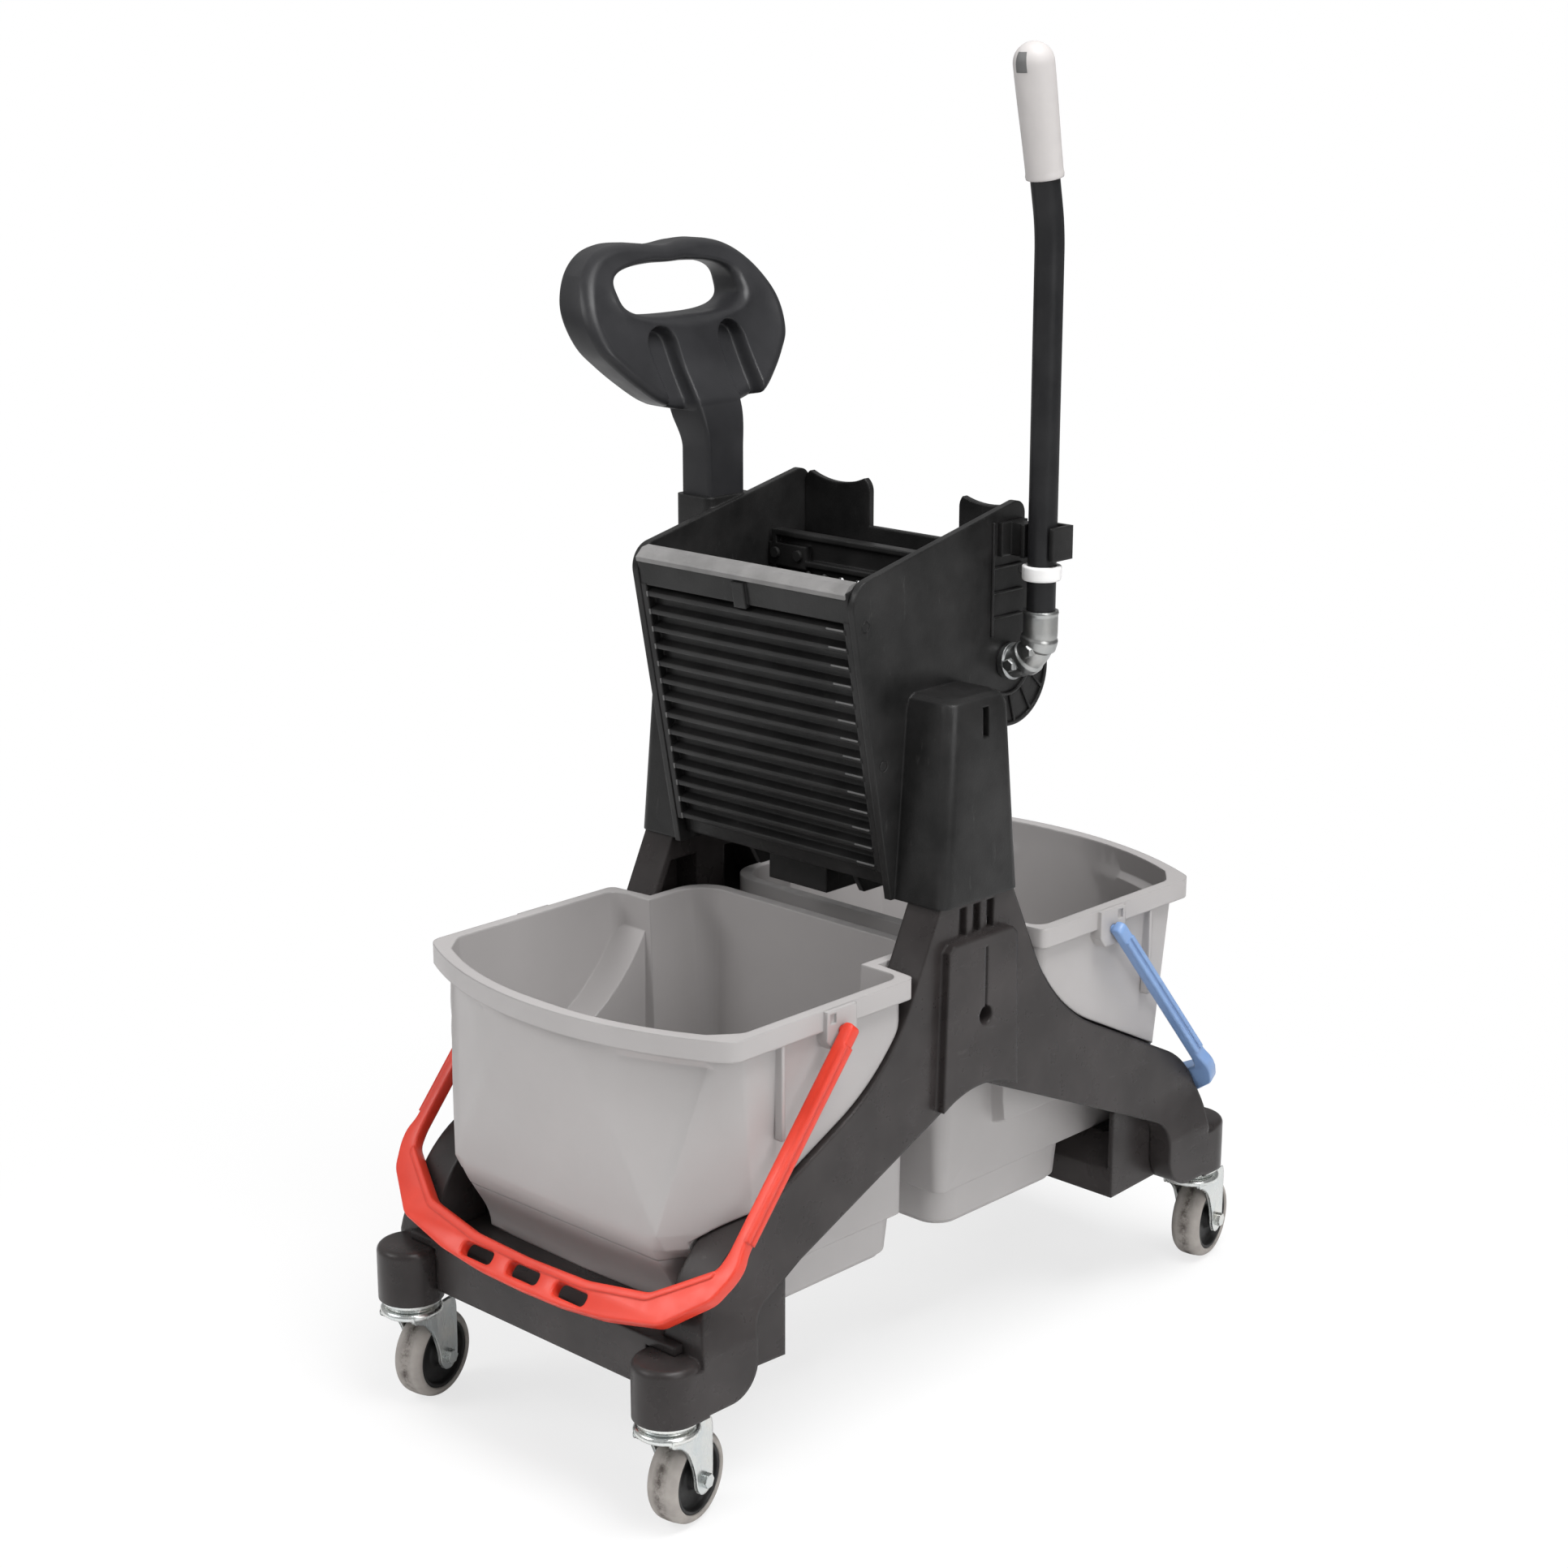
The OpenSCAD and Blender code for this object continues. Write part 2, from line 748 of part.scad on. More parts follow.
// Cap over the post: a block with soft upright edges and a soft top
module saddle() {
    half = saddle_half + 4;
    difference() {
        hull() {
            saddle_plate(hopper_z, half, 0);
            saddle_plate(saddle_top - 12, half - 13, 4);
            saddle_plate(saddle_top - 4, half - 16, 7);
            saddle_plate(saddle_top - 0.5, half - 22, 13);
        }
        slab(saddle_in + 20, saddle_out + 1) translate([1, post_top + 4]) square([8, 26]);
    }
}

// Thin plan of the cap at height z, its outer face moved in by e
module saddle_plate(z, half, e) {
    r = 12;
    translate([0, 0, z]) linear_extrude(0.5) {
        translate([saddle_in, -half]) square([1, 2 * half]);
        for (s = [-1, 1]) translate([saddle_out - e - r, s * (half - r)]) circle(r, $fn = 32);
    }
}

// Left side plate also carries the socket of the push handle
module left_side() {
    difference() {
        union() {
            mirror([1, 0, 0]) wringer_side();
            translate([col_x, col_y, saddle_top - 12]) linear_extrude(socket_top - saddle_top + 12)
                round_box(col_w + 2 * socket_wall - 1, col_l + 2 * socket_wall, col_r + 1);
        }
        translate([col_x, col_y, saddle_top - 4]) linear_extrude(socket_top - saddle_top + 5)
            round_box(col_w + 2 * fit, col_l + 2 * fit, col_r + fit);
        slab(-hx, 0) translate([-hopper_z / 2, hopper_z]) square([hopper_z, hopper_z]);
    }
}

module round_box(w, l, r) {
    translate([-w / 2 + r, -l / 2]) square([w - 2 * r, l]);
    translate([-w / 2, -l / 2 + r]) square([w, l - 2 * r]);
    for (x = [-w / 2 + r, w / 2 - r]) for (y = [-l / 2 + r, l / 2 - r]) translate([x, y]) circle(r);
}

// Places things on the leaning front wall
module on_front() {
    translate([0, front_y, hopper_z]) rotate([front_lean, 0, 0]) children();
}

module front() {
    step = (rib_z1 - rib_z0 - 12) / (rib_count - 1);
    back_d = rib_depth + front_t;
    on_front() difference() {
        union() {
            translate([-hx, rib_depth, 8]) cube([2 * hx, front_t, band_z - 16]);
            translate([-hx, 1, rib_z1]) cube([2 * hx, back_d - 1, band_z - rib_z1]);
            for (x = [-hx, hx - border]) translate([x, 0.5, rib_z0])
                cube([border, rib_depth, rib_z1 - rib_z0 + 1]);
            for (i = [0 : rib_count - 1]) slab(border - hx - 1, hx - border + 1)
                translate([0, rib_z0 + i * step])
                    polygon([[rib_depth + 1, 0], [0, 2], [0, 6], [rib_depth + 1, 9]]);
            translate([-7, -2, rib_z1 - 3]) cube([14, 6, 23]);
            for (x = [-60, 60]) translate([x - 4, back_d - 1, rib_z0]) cube([8, 6, rib_z1 - rib_z0 - 2]);
        }
        for (s = [0, 1]) mirror([s, 0, 0]) for (t = front_screws) bar_x(12, t, screw_d, hx - 19, hx + 1);
    }
}

// Strip over the top edge of the front wall, sloping forward and hooked over the band
module ledge() {
    back_d = rib_depth + front_t + 1;
    on_front() slab(1 - hx, hx - 1)
        polygon([[-1, band_z - 5], [-1, band_z - 1], [8, band_z + 5], [back_d, band_z + 5], [back_d, band_z],
                 [1, band_z], [1, band_z - 5]]);
}

// Rear rail of the hopper with a raised ear at each end
module back() {
    difference() {
        translate([0, back_y + back_t, 0]) rotate([90, 0, 0]) linear_extrude(back_t) {
            translate([-hx, rack_top + 6]) square([2 * hx, back_z - rack_top - 6]);
            ear(-hx, -44);
            ear(62, hx);
        }
        for (s = [0, 1]) mirror([s, 0, 0])
            bar_x(hopper_holes[2][0], hopper_holes[2][1], screw_d, hx - 19, hx + 1);
    }
}

module ear(x0, x1) {
    difference() {
        union() {
            translate([x0, back_z - 1]) square([x1 - x0, 32]);
            translate([x0 + 14, back_z - 1]) square([x1 - x0 - 28, 38]);
            for (x = [x0 + 14, x1 - 14]) translate([x, back_z + 31]) circle(14);
        }
        translate([(x0 + x1) / 2, back_z + 120]) circle(84);
    }
}

// Floor with drain slots and the spout that drips between the buckets
module drain() {
    low = hopper_z - 22;
    wall = 4;
    difference() {
        union() {
            translate([-hx, front_y + 18, floor_z]) cube([2 * hx, 26 - front_y, floor_t]);
            translate([-40, -28, low]) cube([70, 56, floor_z - low + 1]);
            for (x = [-70, 56]) slab(x, x + 6)
                polygon([[-28, floor_z + 1], [28, floor_z + 1], [14, low + 5], [-14, low + 5]]);
        }
        translate([wall - 40, wall - 28, low - 1]) cube([70 - 2 * wall, 56 - 2 * wall, floor_z - low + 1]);
        for (x = [-104 : 16 : 104]) for (y = [-26, 4]) translate([x - 3, y, floor_z - 1])
            cube([6, 22, floor_t + 2]);
    }
}

// Screws whose heads lie flush in the side plates
module screws() {
    for (s = [0, 1]) mirror([s, 0, 0]) for (p = hopper_holes) {
        bar_x(p[0], p[1], screw_d, hx - 14, saddle_in - 1);
        bar_x(p[0], p[1], screw_head, saddle_in - screw_head_t, saddle_in);
    }
}

module bushes() {
    for (s = [0, 1]) mirror([s, 0, 0]) difference() {
        union() {
            bar_x(shaft_y, shaft_z, bush_d, hx - 1, saddle_in + 1);
            bar_x(shaft_y, shaft_z, bush_d + 10, hx - 3, hx);
        }
        bar_x(shaft_y, shaft_z, shaft_d + turn_gap, hx - 10, saddle_in + 10);
    }
}

// Plate that squeezes the mop against the ribbed front
module press() {
    rail = 5;
    pitch = (press_top - press_z - rail) / 10;
    height = press_top - press_z;
    difference() {
        union() {
            translate([-press_half, press_y + press_t - rail, press_z]) cube([2 * press_half, rail, height]);
            for (x = [-press_half, press_half - rail]) translate([x, press_y, press_z])
                cube([rail, press_t, height]);
            for (i = [0 : 10]) translate([-press_half, press_y, press_z + i * pitch])
                cube([2 * press_half, press_t, rail]);
            for (s = [-1, 1]) translate([s * gear_x - pad_half, press_y, screw_z - 12])
                cube([2 * pad_half, press_t, pad_h]);
        }
        for (x = [-80 : 20 : 80]) for (i = [1 : 8])
            bar_y(x, press_z + rail / 2 + (i + 0.5) * pitch, 9, press_y + 3, press_y + press_t + 1);
        for (s = [-1, 1]) for (d = [-screw_dx, screw_dx])
            bar_y(s * gear_x + d, screw_z, rack_screw, press_y - 1, press_y + press_t + 1);
    }
}

module bar_y(x, z, d, y0, y1) {
    translate([x, y1, z]) rotate([90, 0, 0]) cylinder(d = d, h = y1 - y0);
}

// Toothed rack on the back of the press plate, teeth down over the sector gear
module rack() {
    y0 = press_y + press_t;
    flank = tan(20);
    half = tooth_step / 4 + backlash / 4;
    deep = gear_module * 1.25;
    low = gear_module * 1.1;
    difference() {
        union() {
            slab(-rack_half, rack_half) difference() {
                translate([y0, rack_pitch_z - gear_module])
                    square([rack_end - y0, rack_top - rack_pitch_z + gear_module]);
                for (i = [-1 : 6]) translate([shaft_y + i * tooth_step, rack_pitch_z])
                    polygon([[flank * deep - half, deep], [-half - flank * low, -low],
                             [half + flank * low, -low], [half - flank * deep, deep]]);
            }
            translate([-pad_half, y0, screw_z - 12]) cube([2 * pad_half, pad_t, pad_h]);
        }
        for (d = [-screw_dx, screw_dx]) bar_y(d, screw_z, rack_screw, y0 - 1, y0 + pad_t + 1);
    }
}

// Screws with round heads in front and nuts behind
module rack_bolts() {
    nut_y = press_y + press_t + pad_t;
    for (s = [-1, 1]) for (d = [-screw_dx, screw_dx]) {
        bar_y(s * gear_x + d, screw_z, rack_screw, press_y - 1, nut_y + 5);
        bar_y(s * gear_x + d, screw_z, 2 * rack_screw, press_y - 3, press_y);
        translate([s * gear_x + d, nut_y + 4, screw_z]) rotate([90, 0, 0]) cylinder(d = 9, h = 4, $fn = 6);
    }
}

// Angle swept by an involute of base radius b out to radius r
function involute_a(r, b) = sqrt(r * r / (b * b) - 1) * 180 / PI - acos(b / r);

// Sector gear: only the teeth that meet the rack over the swing of the lever
module sector() {
    b = gear_r * cos(20);
    tip = gear_r + gear_module * 0.95;
    root = gear_r - gear_module * 1.25;
    low = max(b, root);
    half_a = (tooth_step / 2 - backlash / 2) / gear_r / 2 * 180 / PI;
    base_a = half_a + involute_a(gear_r, b);
    foot = base_a * PI / 180 * root;
    steps = 6;
    side = [for (i = [0 : steps]) let (r = low + (tip - low) * i / steps, a = base_a - involute_a(r, b))
            r * [cos(a), sin(a)]];
    step = 360 / gear_teeth;
    slab(-gear_w / 2, gear_w / 2) translate([shaft_y, shaft_z]) difference() {
        union() {
            for (k = [-1 : 6]) rotate(90 - k * step) polygon(concat(
                [[root - 3, -foot]], [for (p = side) [p[0], -p[1]]],
                [for (i = [steps : -1 : 0]) side[i]], [[root - 3, foot]]));
            intersection() {
                circle(root);
                polygon(concat([[0, 0]],
                               [for (k = [-1.45 : 0.5 : 6.55]) 2 * root * [sin(k * step), cos(k * step)]]));
            }
            circle(shaft_d / 2 + 8);
        }
        circle(shaft_d / 2);
        for (a = [60, 20]) rotate(a) translate([gear_r * 0.6, 0]) circle(5);
    }
}

module shaft() {
    bar_x(shaft_y, shaft_z, shaft_d, -saddle_in - 4, elbow_start + 10);
    bar_x(shaft_y, shaft_z, shaft_d + 8, -saddle_in - 8, -saddle_in - 1.4);
}

// Bent zinc elbow that joins the shaft to the lever tube
module elbow() {
    difference() {
        union() {
            translate([elbow_start, shaft_y, shaft_z + elbow_r]) rotate([90, 0, 0]) rotate([0, 0, -90])
                rotate_extrude(angle = 90) translate([elbow_r, 0]) circle(d = elbow_d);
            bar_x(shaft_y, shaft_z, elbow_d + 2, saddle_in + 1.4, elbow_start + 4);
            translate([lever_x, shaft_y, shaft_z + elbow_r - 4]) cylinder(d = elbow_d + 2, h = 16);
        }
        bar_x(shaft_y, shaft_z, shaft_d, saddle_in - 5, elbow_start + 10);
        translate([lever_x, shaft_y, shaft_z + elbow_r]) cylinder(d = lever_d, h = 20);
    }
}

module on_lever_top() {
    translate([lever_x, shaft_y - bend_r, lever_bend_z]) rotate([bend_a, 0, 0])
        translate([0, bend_r, 0]) children();
}

// Tube: straight, then a slow bend, then a straight tail under the grip
module tube() {
    low = shaft_z + elbow_r;
    translate([lever_x, shaft_y, low]) cylinder(d = lever_d, h = lever_bend_z - low - 20);
    translate([lever_x, shaft_y, lever_bend_z - 21]) cylinder(d = lever_d + 0.2, h = 22);
    translate([lever_x, shaft_y - bend_r, lever_bend_z]) rotate([0, 90, 0]) rotate([0, 0, 90])
        rotate_extrude(angle = bend_a, $fn = 180) translate([bend_r, 0]) circle(d = lever_d);
    on_lever_top() translate([0, 0, -1]) cylinder(d = lever_d + 0.2, h = bend_tail - 5);
}

module collar() {
    translate([lever_x, shaft_y, collar_z]) difference() {
        cylinder(d = lever_d + 9, h = collar_h);
        translate([0, 0, -1]) cylinder(d = lever_d, h = collar_h + 2);
    }
}

module grip() {
    edge = 6;
    r = grip_d / 2;
    on_lever_top() translate([0, 0, bend_tail - grip_len]) difference() {
        rotate_extrude() {
            square([r, grip_len - edge]);
            square([r - edge, grip_len]);
            translate([r - edge, grip_len - edge]) circle(edge);
        }
        translate([0, 0, -1]) cylinder(d = lever_d + 0.2, h = grip_len - 5);
    }
}

// Cradle on the right side plate that the upright lever leans into
module clip() {
    gap = lever_d / 2 + 1;
    wall = 4;
    left = lever_x - gap - wall;
    translate([0, 0, clip_z]) linear_extrude(clip_h) {
        translate([left, shaft_y - 8]) square([wall, gap + 14]);
        translate([lever_x + gap, shaft_y - 8]) square([wall, gap + 14]);
        translate([left, shaft_y + gap + 2]) square([2 * gap + 2 * wall, wall]);
        translate([saddle_in, shaft_y - 4]) square([left - saddle_in + 1, 12]);
        translate([saddle_in, shaft_y - 16]) square([5, 34]);
    }
}

// Column that stands in the socket, with a loop that leans outward between two slanted faces
module handle() {
    translate([col_x, col_y, saddle_top - 4]) linear_extrude(neck_z - saddle_top + 12)
        round_box(col_w, col_l, col_r);
    difference() {
        intersection() {
            translate([0, col_y, neck_z]) slab(2 * col_x, 0) loop_outline();
            on_loop() translate([-loop_t / 2, -200, -60]) cube([loop_t, 400, 300]);
        }
        for (s = [-1, 1]) on_loop() translate([loop_t / 2 - groove_in, s * groove_y, groove_top])
            slab(0, groove_in + 1) {
                circle(groove_half + 0.02);
                translate([-groove_half, -100]) square([2 * groove_half, 100]);
            }
    }
}

// Places things on the leaning loop
module on_loop() {
    translate([col_x, col_y, neck_z]) rotate([0, -lean, 0]) children();
}

// Smooth closed curve through a ring of points, n steps between neighbours
function ring(p, n) = [for (i = [0 : len(p) - 1]) for (k = [0 : n - 1])
    let (c = len(p), t = k / n, a = p[(i + c - 1) % c], b = p[i], d = p[(i + 1) % c], f = p[(i + 2) % c])
    0.5 * (2 * b + (d - a) * t + (2 * a - 5 * b + 4 * d - f) * t * t + (3 * b - a - 3 * d + f) * t * t * t)];

// Loop of the handle as seen along X, measured from the top of the column
module loop_outline() {
    k = loop_half;
    right = [[28, 160], [58, 160], [84, 153], [k - 17, 138], [k - 4, 116], [k, 96], [k - 5, 74],
             [k - 18, 58], [86, 42], [66, 27], [46, 20], [24, 17]];
    left = [for (i = [len(right) - 1 : -1 : 0]) [-right[i][0], right[i][1]]];
    difference() {
        polygon(ring(concat([[0, 158]], right, left), 4));
        round_plan(75, 99, 142, 20);
    }
    translate([-col_l / 2 - 2, -4]) square([col_l + 4, 40]);
}

// Colours of the mouldings and metal parts
black = [0.16, 0.16, 0.16];
grey = [0.66, 0.65, 0.65];
zinc = [0.75, 0.76, 0.77];
pale = [0.8, 0.79, 0.78];
red = [0.92, 0.3, 0.22];
blue = [0.42, 0.58, 0.8];

module side_frame_right() { color(black) side_frame(); }
module side_frame_left() { color(black) mirror([1, 0, 0]) side_frame(); }
module front_beam() { color(black) rotate([0, 0, 180]) beam(); }
module rear_beam() { color(black) beam(); }
module beam_bolts() { color(zinc) bolts(); }
module castor_stems() { color(zinc) for (c = corners) at_castor(c) stem(); }
module castor_fork_fr() { color(zinc) at_castor(corners[0]) fork(); }
module castor_fork_fl() { color(zinc) at_castor(corners[1]) fork(); }
module castor_fork_rr() { color(zinc) at_castor(corners[2]) fork(); }
module castor_fork_rl() { color(zinc) at_castor(corners[3]) fork(); }
module castor_axle_fr() { color(zinc) at_castor(corners[0]) axle(); }
module castor_axle_fl() { color(zinc) at_castor(corners[1]) axle(); }
module castor_axle_rr() { color(zinc) at_castor(corners[2]) axle(); }
module castor_axle_rl() { color(zinc) at_castor(corners[3]) axle(); }
module wheel_core_fr() { color(black) at_castor(corners[0]) core(); }
module wheel_core_fl() { color(black) at_castor(corners[1]) core(); }
module wheel_core_rr() { color(black) at_castor(corners[2]) core(); }
module wheel_core_rl() { color(black) at_castor(corners[3]) core(); }
module wheel_tyre_fr() { color(grey) at_castor(corners[0]) tyre(); }
module wheel_tyre_fl() { color(grey) at_castor(corners[1]) tyre(); }
module wheel_tyre_rr() { color(grey) at_castor(corners[2]) tyre(); }
module wheel_tyre_rl() { color(grey) at_castor(corners[3]) tyre(); }
module front_bucket() { color(grey) rotate([0, 0, 180]) bucket(); }
module rear_bucket() { color(grey) bucket(); }
module front_bail() { color(red) rotate([0, 0, 180]) bail(); }
module rear_bail() { color(blue) bail(); }
module wringer_side_right() { color(black) wringer_side(); }
module wringer_side_left() { color(black) left_side(); }
module ribbed_front() { color(black) front(); }
module front_ledge() { color(pale) ledge(); }
module back_wall() { color(black) back(); }
module drain_floor() { color(black) drain(); }
module hopper_screws() { color(zinc) screws(); }
module shaft_bushes() { color(pale) bushes(); }
module press_plate() { color(black) press(); }
module rack_right() { color(black) translate([gear_x, 0, 0]) rack(); }
module rack_left() { color(black) translate([-gear_x, 0, 0]) rack(); }
module rack_screws() { color(zinc) rack_bolts(); }
module press_shaft() { color(zinc) shaft(); }
module sector_gear_right() { color(black) translate([gear_x, 0, 0]) sector(); }
module sector_gear_left() { color(black) translate([-gear_x, 0, 0]) sector(); }
module lever_elbow() { color(zinc) elbow(); }
module lever_tube() { color(black) tube(); }
module lever_collar() { color("white") collar(); }
module lever_grip() { color(pale) grip(); }
module lever_clip() { color(black) clip(); }
module push_handle() { color(black) handle(); }

side_frame_right();
side_frame_left();
front_beam();
rear_beam();
beam_bolts();
castor_stems();
castor_fork_fr();
castor_fork_fl();
castor_fork_rr();
castor_fork_rl();
castor_axle_fr();
castor_axle_fl();
castor_axle_rr();
castor_axle_rl();
wheel_core_fr();
wheel_core_fl();
wheel_core_rr();
wheel_core_rl();
wheel_tyre_fr();
wheel_tyre_fl();
wheel_tyre_rr();
wheel_tyre_rl();
front_bucket();
rear_bucket();
front_bail();
rear_bail();
wringer_side_right();
wringer_side_left();
ribbed_front();
front_ledge();
back_wall();
drain_floor();
hopper_screws();
shaft_bushes();
press_plate();
rack_right();
rack_left();
rack_screws();
press_shaft();
sector_gear_right();
sector_gear_left();
lever_elbow();
lever_tube();
lever_collar();
lever_grip();
lever_clip();
push_handle();
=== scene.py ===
import bmesh
import bpy
import json
import math
import numpy as np
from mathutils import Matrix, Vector
from mathutils.bvhtree import BVHTree
from mathutils.geometry import tessellate_polygon


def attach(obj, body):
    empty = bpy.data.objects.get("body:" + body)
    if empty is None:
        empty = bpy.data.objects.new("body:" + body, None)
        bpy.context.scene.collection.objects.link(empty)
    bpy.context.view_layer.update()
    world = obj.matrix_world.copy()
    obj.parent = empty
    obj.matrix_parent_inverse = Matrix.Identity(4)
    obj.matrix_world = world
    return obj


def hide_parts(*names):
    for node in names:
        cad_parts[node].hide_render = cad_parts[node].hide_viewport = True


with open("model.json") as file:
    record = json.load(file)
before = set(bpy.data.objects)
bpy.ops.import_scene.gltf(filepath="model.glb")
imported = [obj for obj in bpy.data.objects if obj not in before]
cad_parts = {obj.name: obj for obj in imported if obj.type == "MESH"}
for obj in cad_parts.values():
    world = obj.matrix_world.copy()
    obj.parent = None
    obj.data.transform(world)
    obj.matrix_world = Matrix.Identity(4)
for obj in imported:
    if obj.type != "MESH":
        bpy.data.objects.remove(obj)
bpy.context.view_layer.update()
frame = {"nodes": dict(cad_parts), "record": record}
nodes = frame["nodes"]
bodyOf = {n: b for b, names in frame["record"]["behaviour"]["bodies"].items() for n in names}
slotOf = {s["node"]: s["material_slot"] for s in frame["record"]["subparts"]}
mm = 1e-3
tiny = 1e-6
print("frame loaded,", len(nodes), "nodes")


# shader helpers

mixA, mixB, mixOut = 6, 7, 2  # colour sockets of a mix node


def newMaterial(name):
    mat = bpy.data.materials.new(name)
    mat.use_nodes = True
    mat.node_tree.nodes.clear()
    return mat, mat.node_tree


def addNode(tree, kind, props=None, **values):
    n = tree.nodes.new(kind)
    for key, value in (props or {}).items():
        setattr(n, key, value)
    for key, value in values.items():
        n.inputs[key.replace("_", " ")].default_value = value
    return n


def link(tree, a, out, b, into):
    tree.links.new(a.outputs[out], b.inputs[into])


# a math node fed by pairs of a node and its output
def mathNode(tree, operation, *sources):
    n = addNode(tree, "ShaderNodeMath", {"operation": operation})
    for into, (source, out) in enumerate(sources):
        link(tree, source, out, n, into)
    return n


def noiseOn(tree, coords, scale, detail=4.0, rough=0.55, stretch=(1, 1, 1)):
    mapping = addNode(tree, "ShaderNodeMapping", Scale=stretch)
    noise = addNode(tree, "ShaderNodeTexNoise", Scale=scale, Detail=detail, Roughness=rough)
    link(tree, coords, "Object", mapping, "Vector")
    link(tree, mapping, "Vector", noise, "Vector")
    return noise


# an output's run from low to high, turned into a run from a to b
def ramp(tree, source, out, low, high, a=0.0, b=1.0):
    span = addNode(tree, "ShaderNodeMapRange", From_Min=low, From_Max=high, To_Min=a, To_Max=b)
    link(tree, source, out, span, "Value")
    return span


# two colours mixed, each given as a tone or as an earlier mix
def mixColour(tree, fac, facOut, a, b):
    mix = addNode(tree, "ShaderNodeMix", {"data_type": "RGBA"})
    for into, colour in ((mixA, a), (mixB, b)):
        if isinstance(colour, tuple):
            mix.inputs[into].default_value = (*colour, 1.0)
        else:
            link(tree, colour, mixOut, mix, into)
    link(tree, fac, facOut, mix, 0)
    return mix


# a finish's last nodes: edges rounded in shading, a bump over them, then the shader itself
def shadeSkin(tree, tone, rough, height, heightOut, edge, bump, samples=6, **values):
    rounded = addNode(tree, "ShaderNodeBevel", {"samples": samples}, Radius=edge)
    strength, distance = bump
    relief = addNode(tree, "ShaderNodeBump", Strength=strength, Distance=distance)
    link(tree, height, heightOut, relief, "Height")
    link(tree, rounded, "Normal", relief, "Normal")
    shader = addNode(tree, "ShaderNodeBsdfPrincipled", **values)
    out = addNode(tree, "ShaderNodeOutputMaterial")
    link(tree, tone, mixOut, shader, "Base Color")
    link(tree, rough, "Result", shader, "Roughness")
    link(tree, relief, "Normal", shader, "Normal")
    link(tree, shader, "BSDF", out, "Surface")


# what all mouldings share: each noise's detail and roughness, and the part of its run that counts
moulding = {"cloudSpan": (0.35, 0.68), "scuffNoise": (6.0, 0.7), "scuffSpan": (0.62, 0.78),
            "grimeNoise": (8.0, 0.75), "grimeSpan": (0.42, 0.6), "grimeShare": (0.15, 1.0),
            "sheenFiner": 3, "sheenSpan": (0.3, 0.7), "poreNoise": (3.0, 0.6), "poreDeep": 0.0006,
            "ior": 1.48}


# moulded plastic: two tones in cloudy patches, fine pores, faint scuffs along the tool's draw, softened edges
def mouldedPlastic(name, look, m=moulding):
    mat, tree = newMaterial(name)
    coords = addNode(tree, "ShaderNodeTexCoord")
    cloud = ramp(tree, noiseOn(tree, coords, look["cloudScale"]), "Fac", *m["cloudSpan"])
    tone = mixColour(tree, cloud, "Result", look["dark"], look["light"])
    scuffs = noiseOn(tree, coords, look["scuffScale"], *m["scuffNoise"], look["scuffRun"])
    scuffMask = ramp(tree, scuffs, "Fac", *m["scuffSpan"], 0.0, look["scuffShare"])
    skin = mixColour(tree, scuffMask, "Result", tone, look["scuffTone"])
    if "grime" in look:  # dirt worn into the middle of the tread, by the offset stored on the mesh
        across = addNode(tree, "ShaderNodeAttribute", {"attribute_name": "across"})
        reach = mathNode(tree, "ABSOLUTE", (across, "Fac"))
        strip = ramp(tree, reach, 0, *look["grimeReach"], 1.0, 0.0)
        dirt = noiseOn(tree, coords, look["grimeScale"], *m["grimeNoise"])
        spots = ramp(tree, dirt, "Fac", *m["grimeSpan"], *m["grimeShare"])
        share = mathNode(tree, "MULTIPLY", (strip, "Result"), (spots, "Result"))
        skin = mixColour(tree, share, 0, skin, look["grime"])
    sheen = noiseOn(tree, coords, look["cloudScale"] * m["sheenFiner"])
    rough = ramp(tree, sheen, "Fac", *m["sheenSpan"], *look["rough"])
    pores = noiseOn(tree, coords, look["poreScale"], *m["poreNoise"])
    shadeSkin(tree, skin, rough, pores, "Fac", look["edge"], (look["pore"], m["poreDeep"]),
              IOR=m["ior"], Specular_IOR_Level=look["gloss"])
    return mat


plating = {"driftScale": 40.0, "driftSpan": (0.3, 0.7), "streakScale": 160.0, "streakNoise": (4.0, 0.6),
           "streakRun": (1, 1, 0.15), "streakSpan": (0.3, 0.75), "bump": (0.12, 0.0005)}


# zinc plate: cool grey with spangle cells, brushed streaks and a little blue-yellow drift
def zincPlate(name, look, p=plating):
    mat, tree = newMaterial(name)
    coords = addNode(tree, "ShaderNodeTexCoord")
    spangle = addNode(tree, "ShaderNodeTexVoronoi", Scale=look["spangle"])
    link(tree, coords, "Object", spangle, "Vector")
    drift = ramp(tree, noiseOn(tree, coords, p["driftScale"]), "Fac", *p["driftSpan"])
    base = mixColour(tree, drift, "Result", look["cool"], look["warm"])
    streak = noiseOn(tree, coords, p["streakScale"], *p["streakNoise"], p["streakRun"])
    rough = ramp(tree, streak, "Fac", *p["streakSpan"], *look["rough"])
    shadeSkin(tree, base, rough, spangle, "Distance", look["edge"], p["bump"], Metallic=1.0)
    return mat


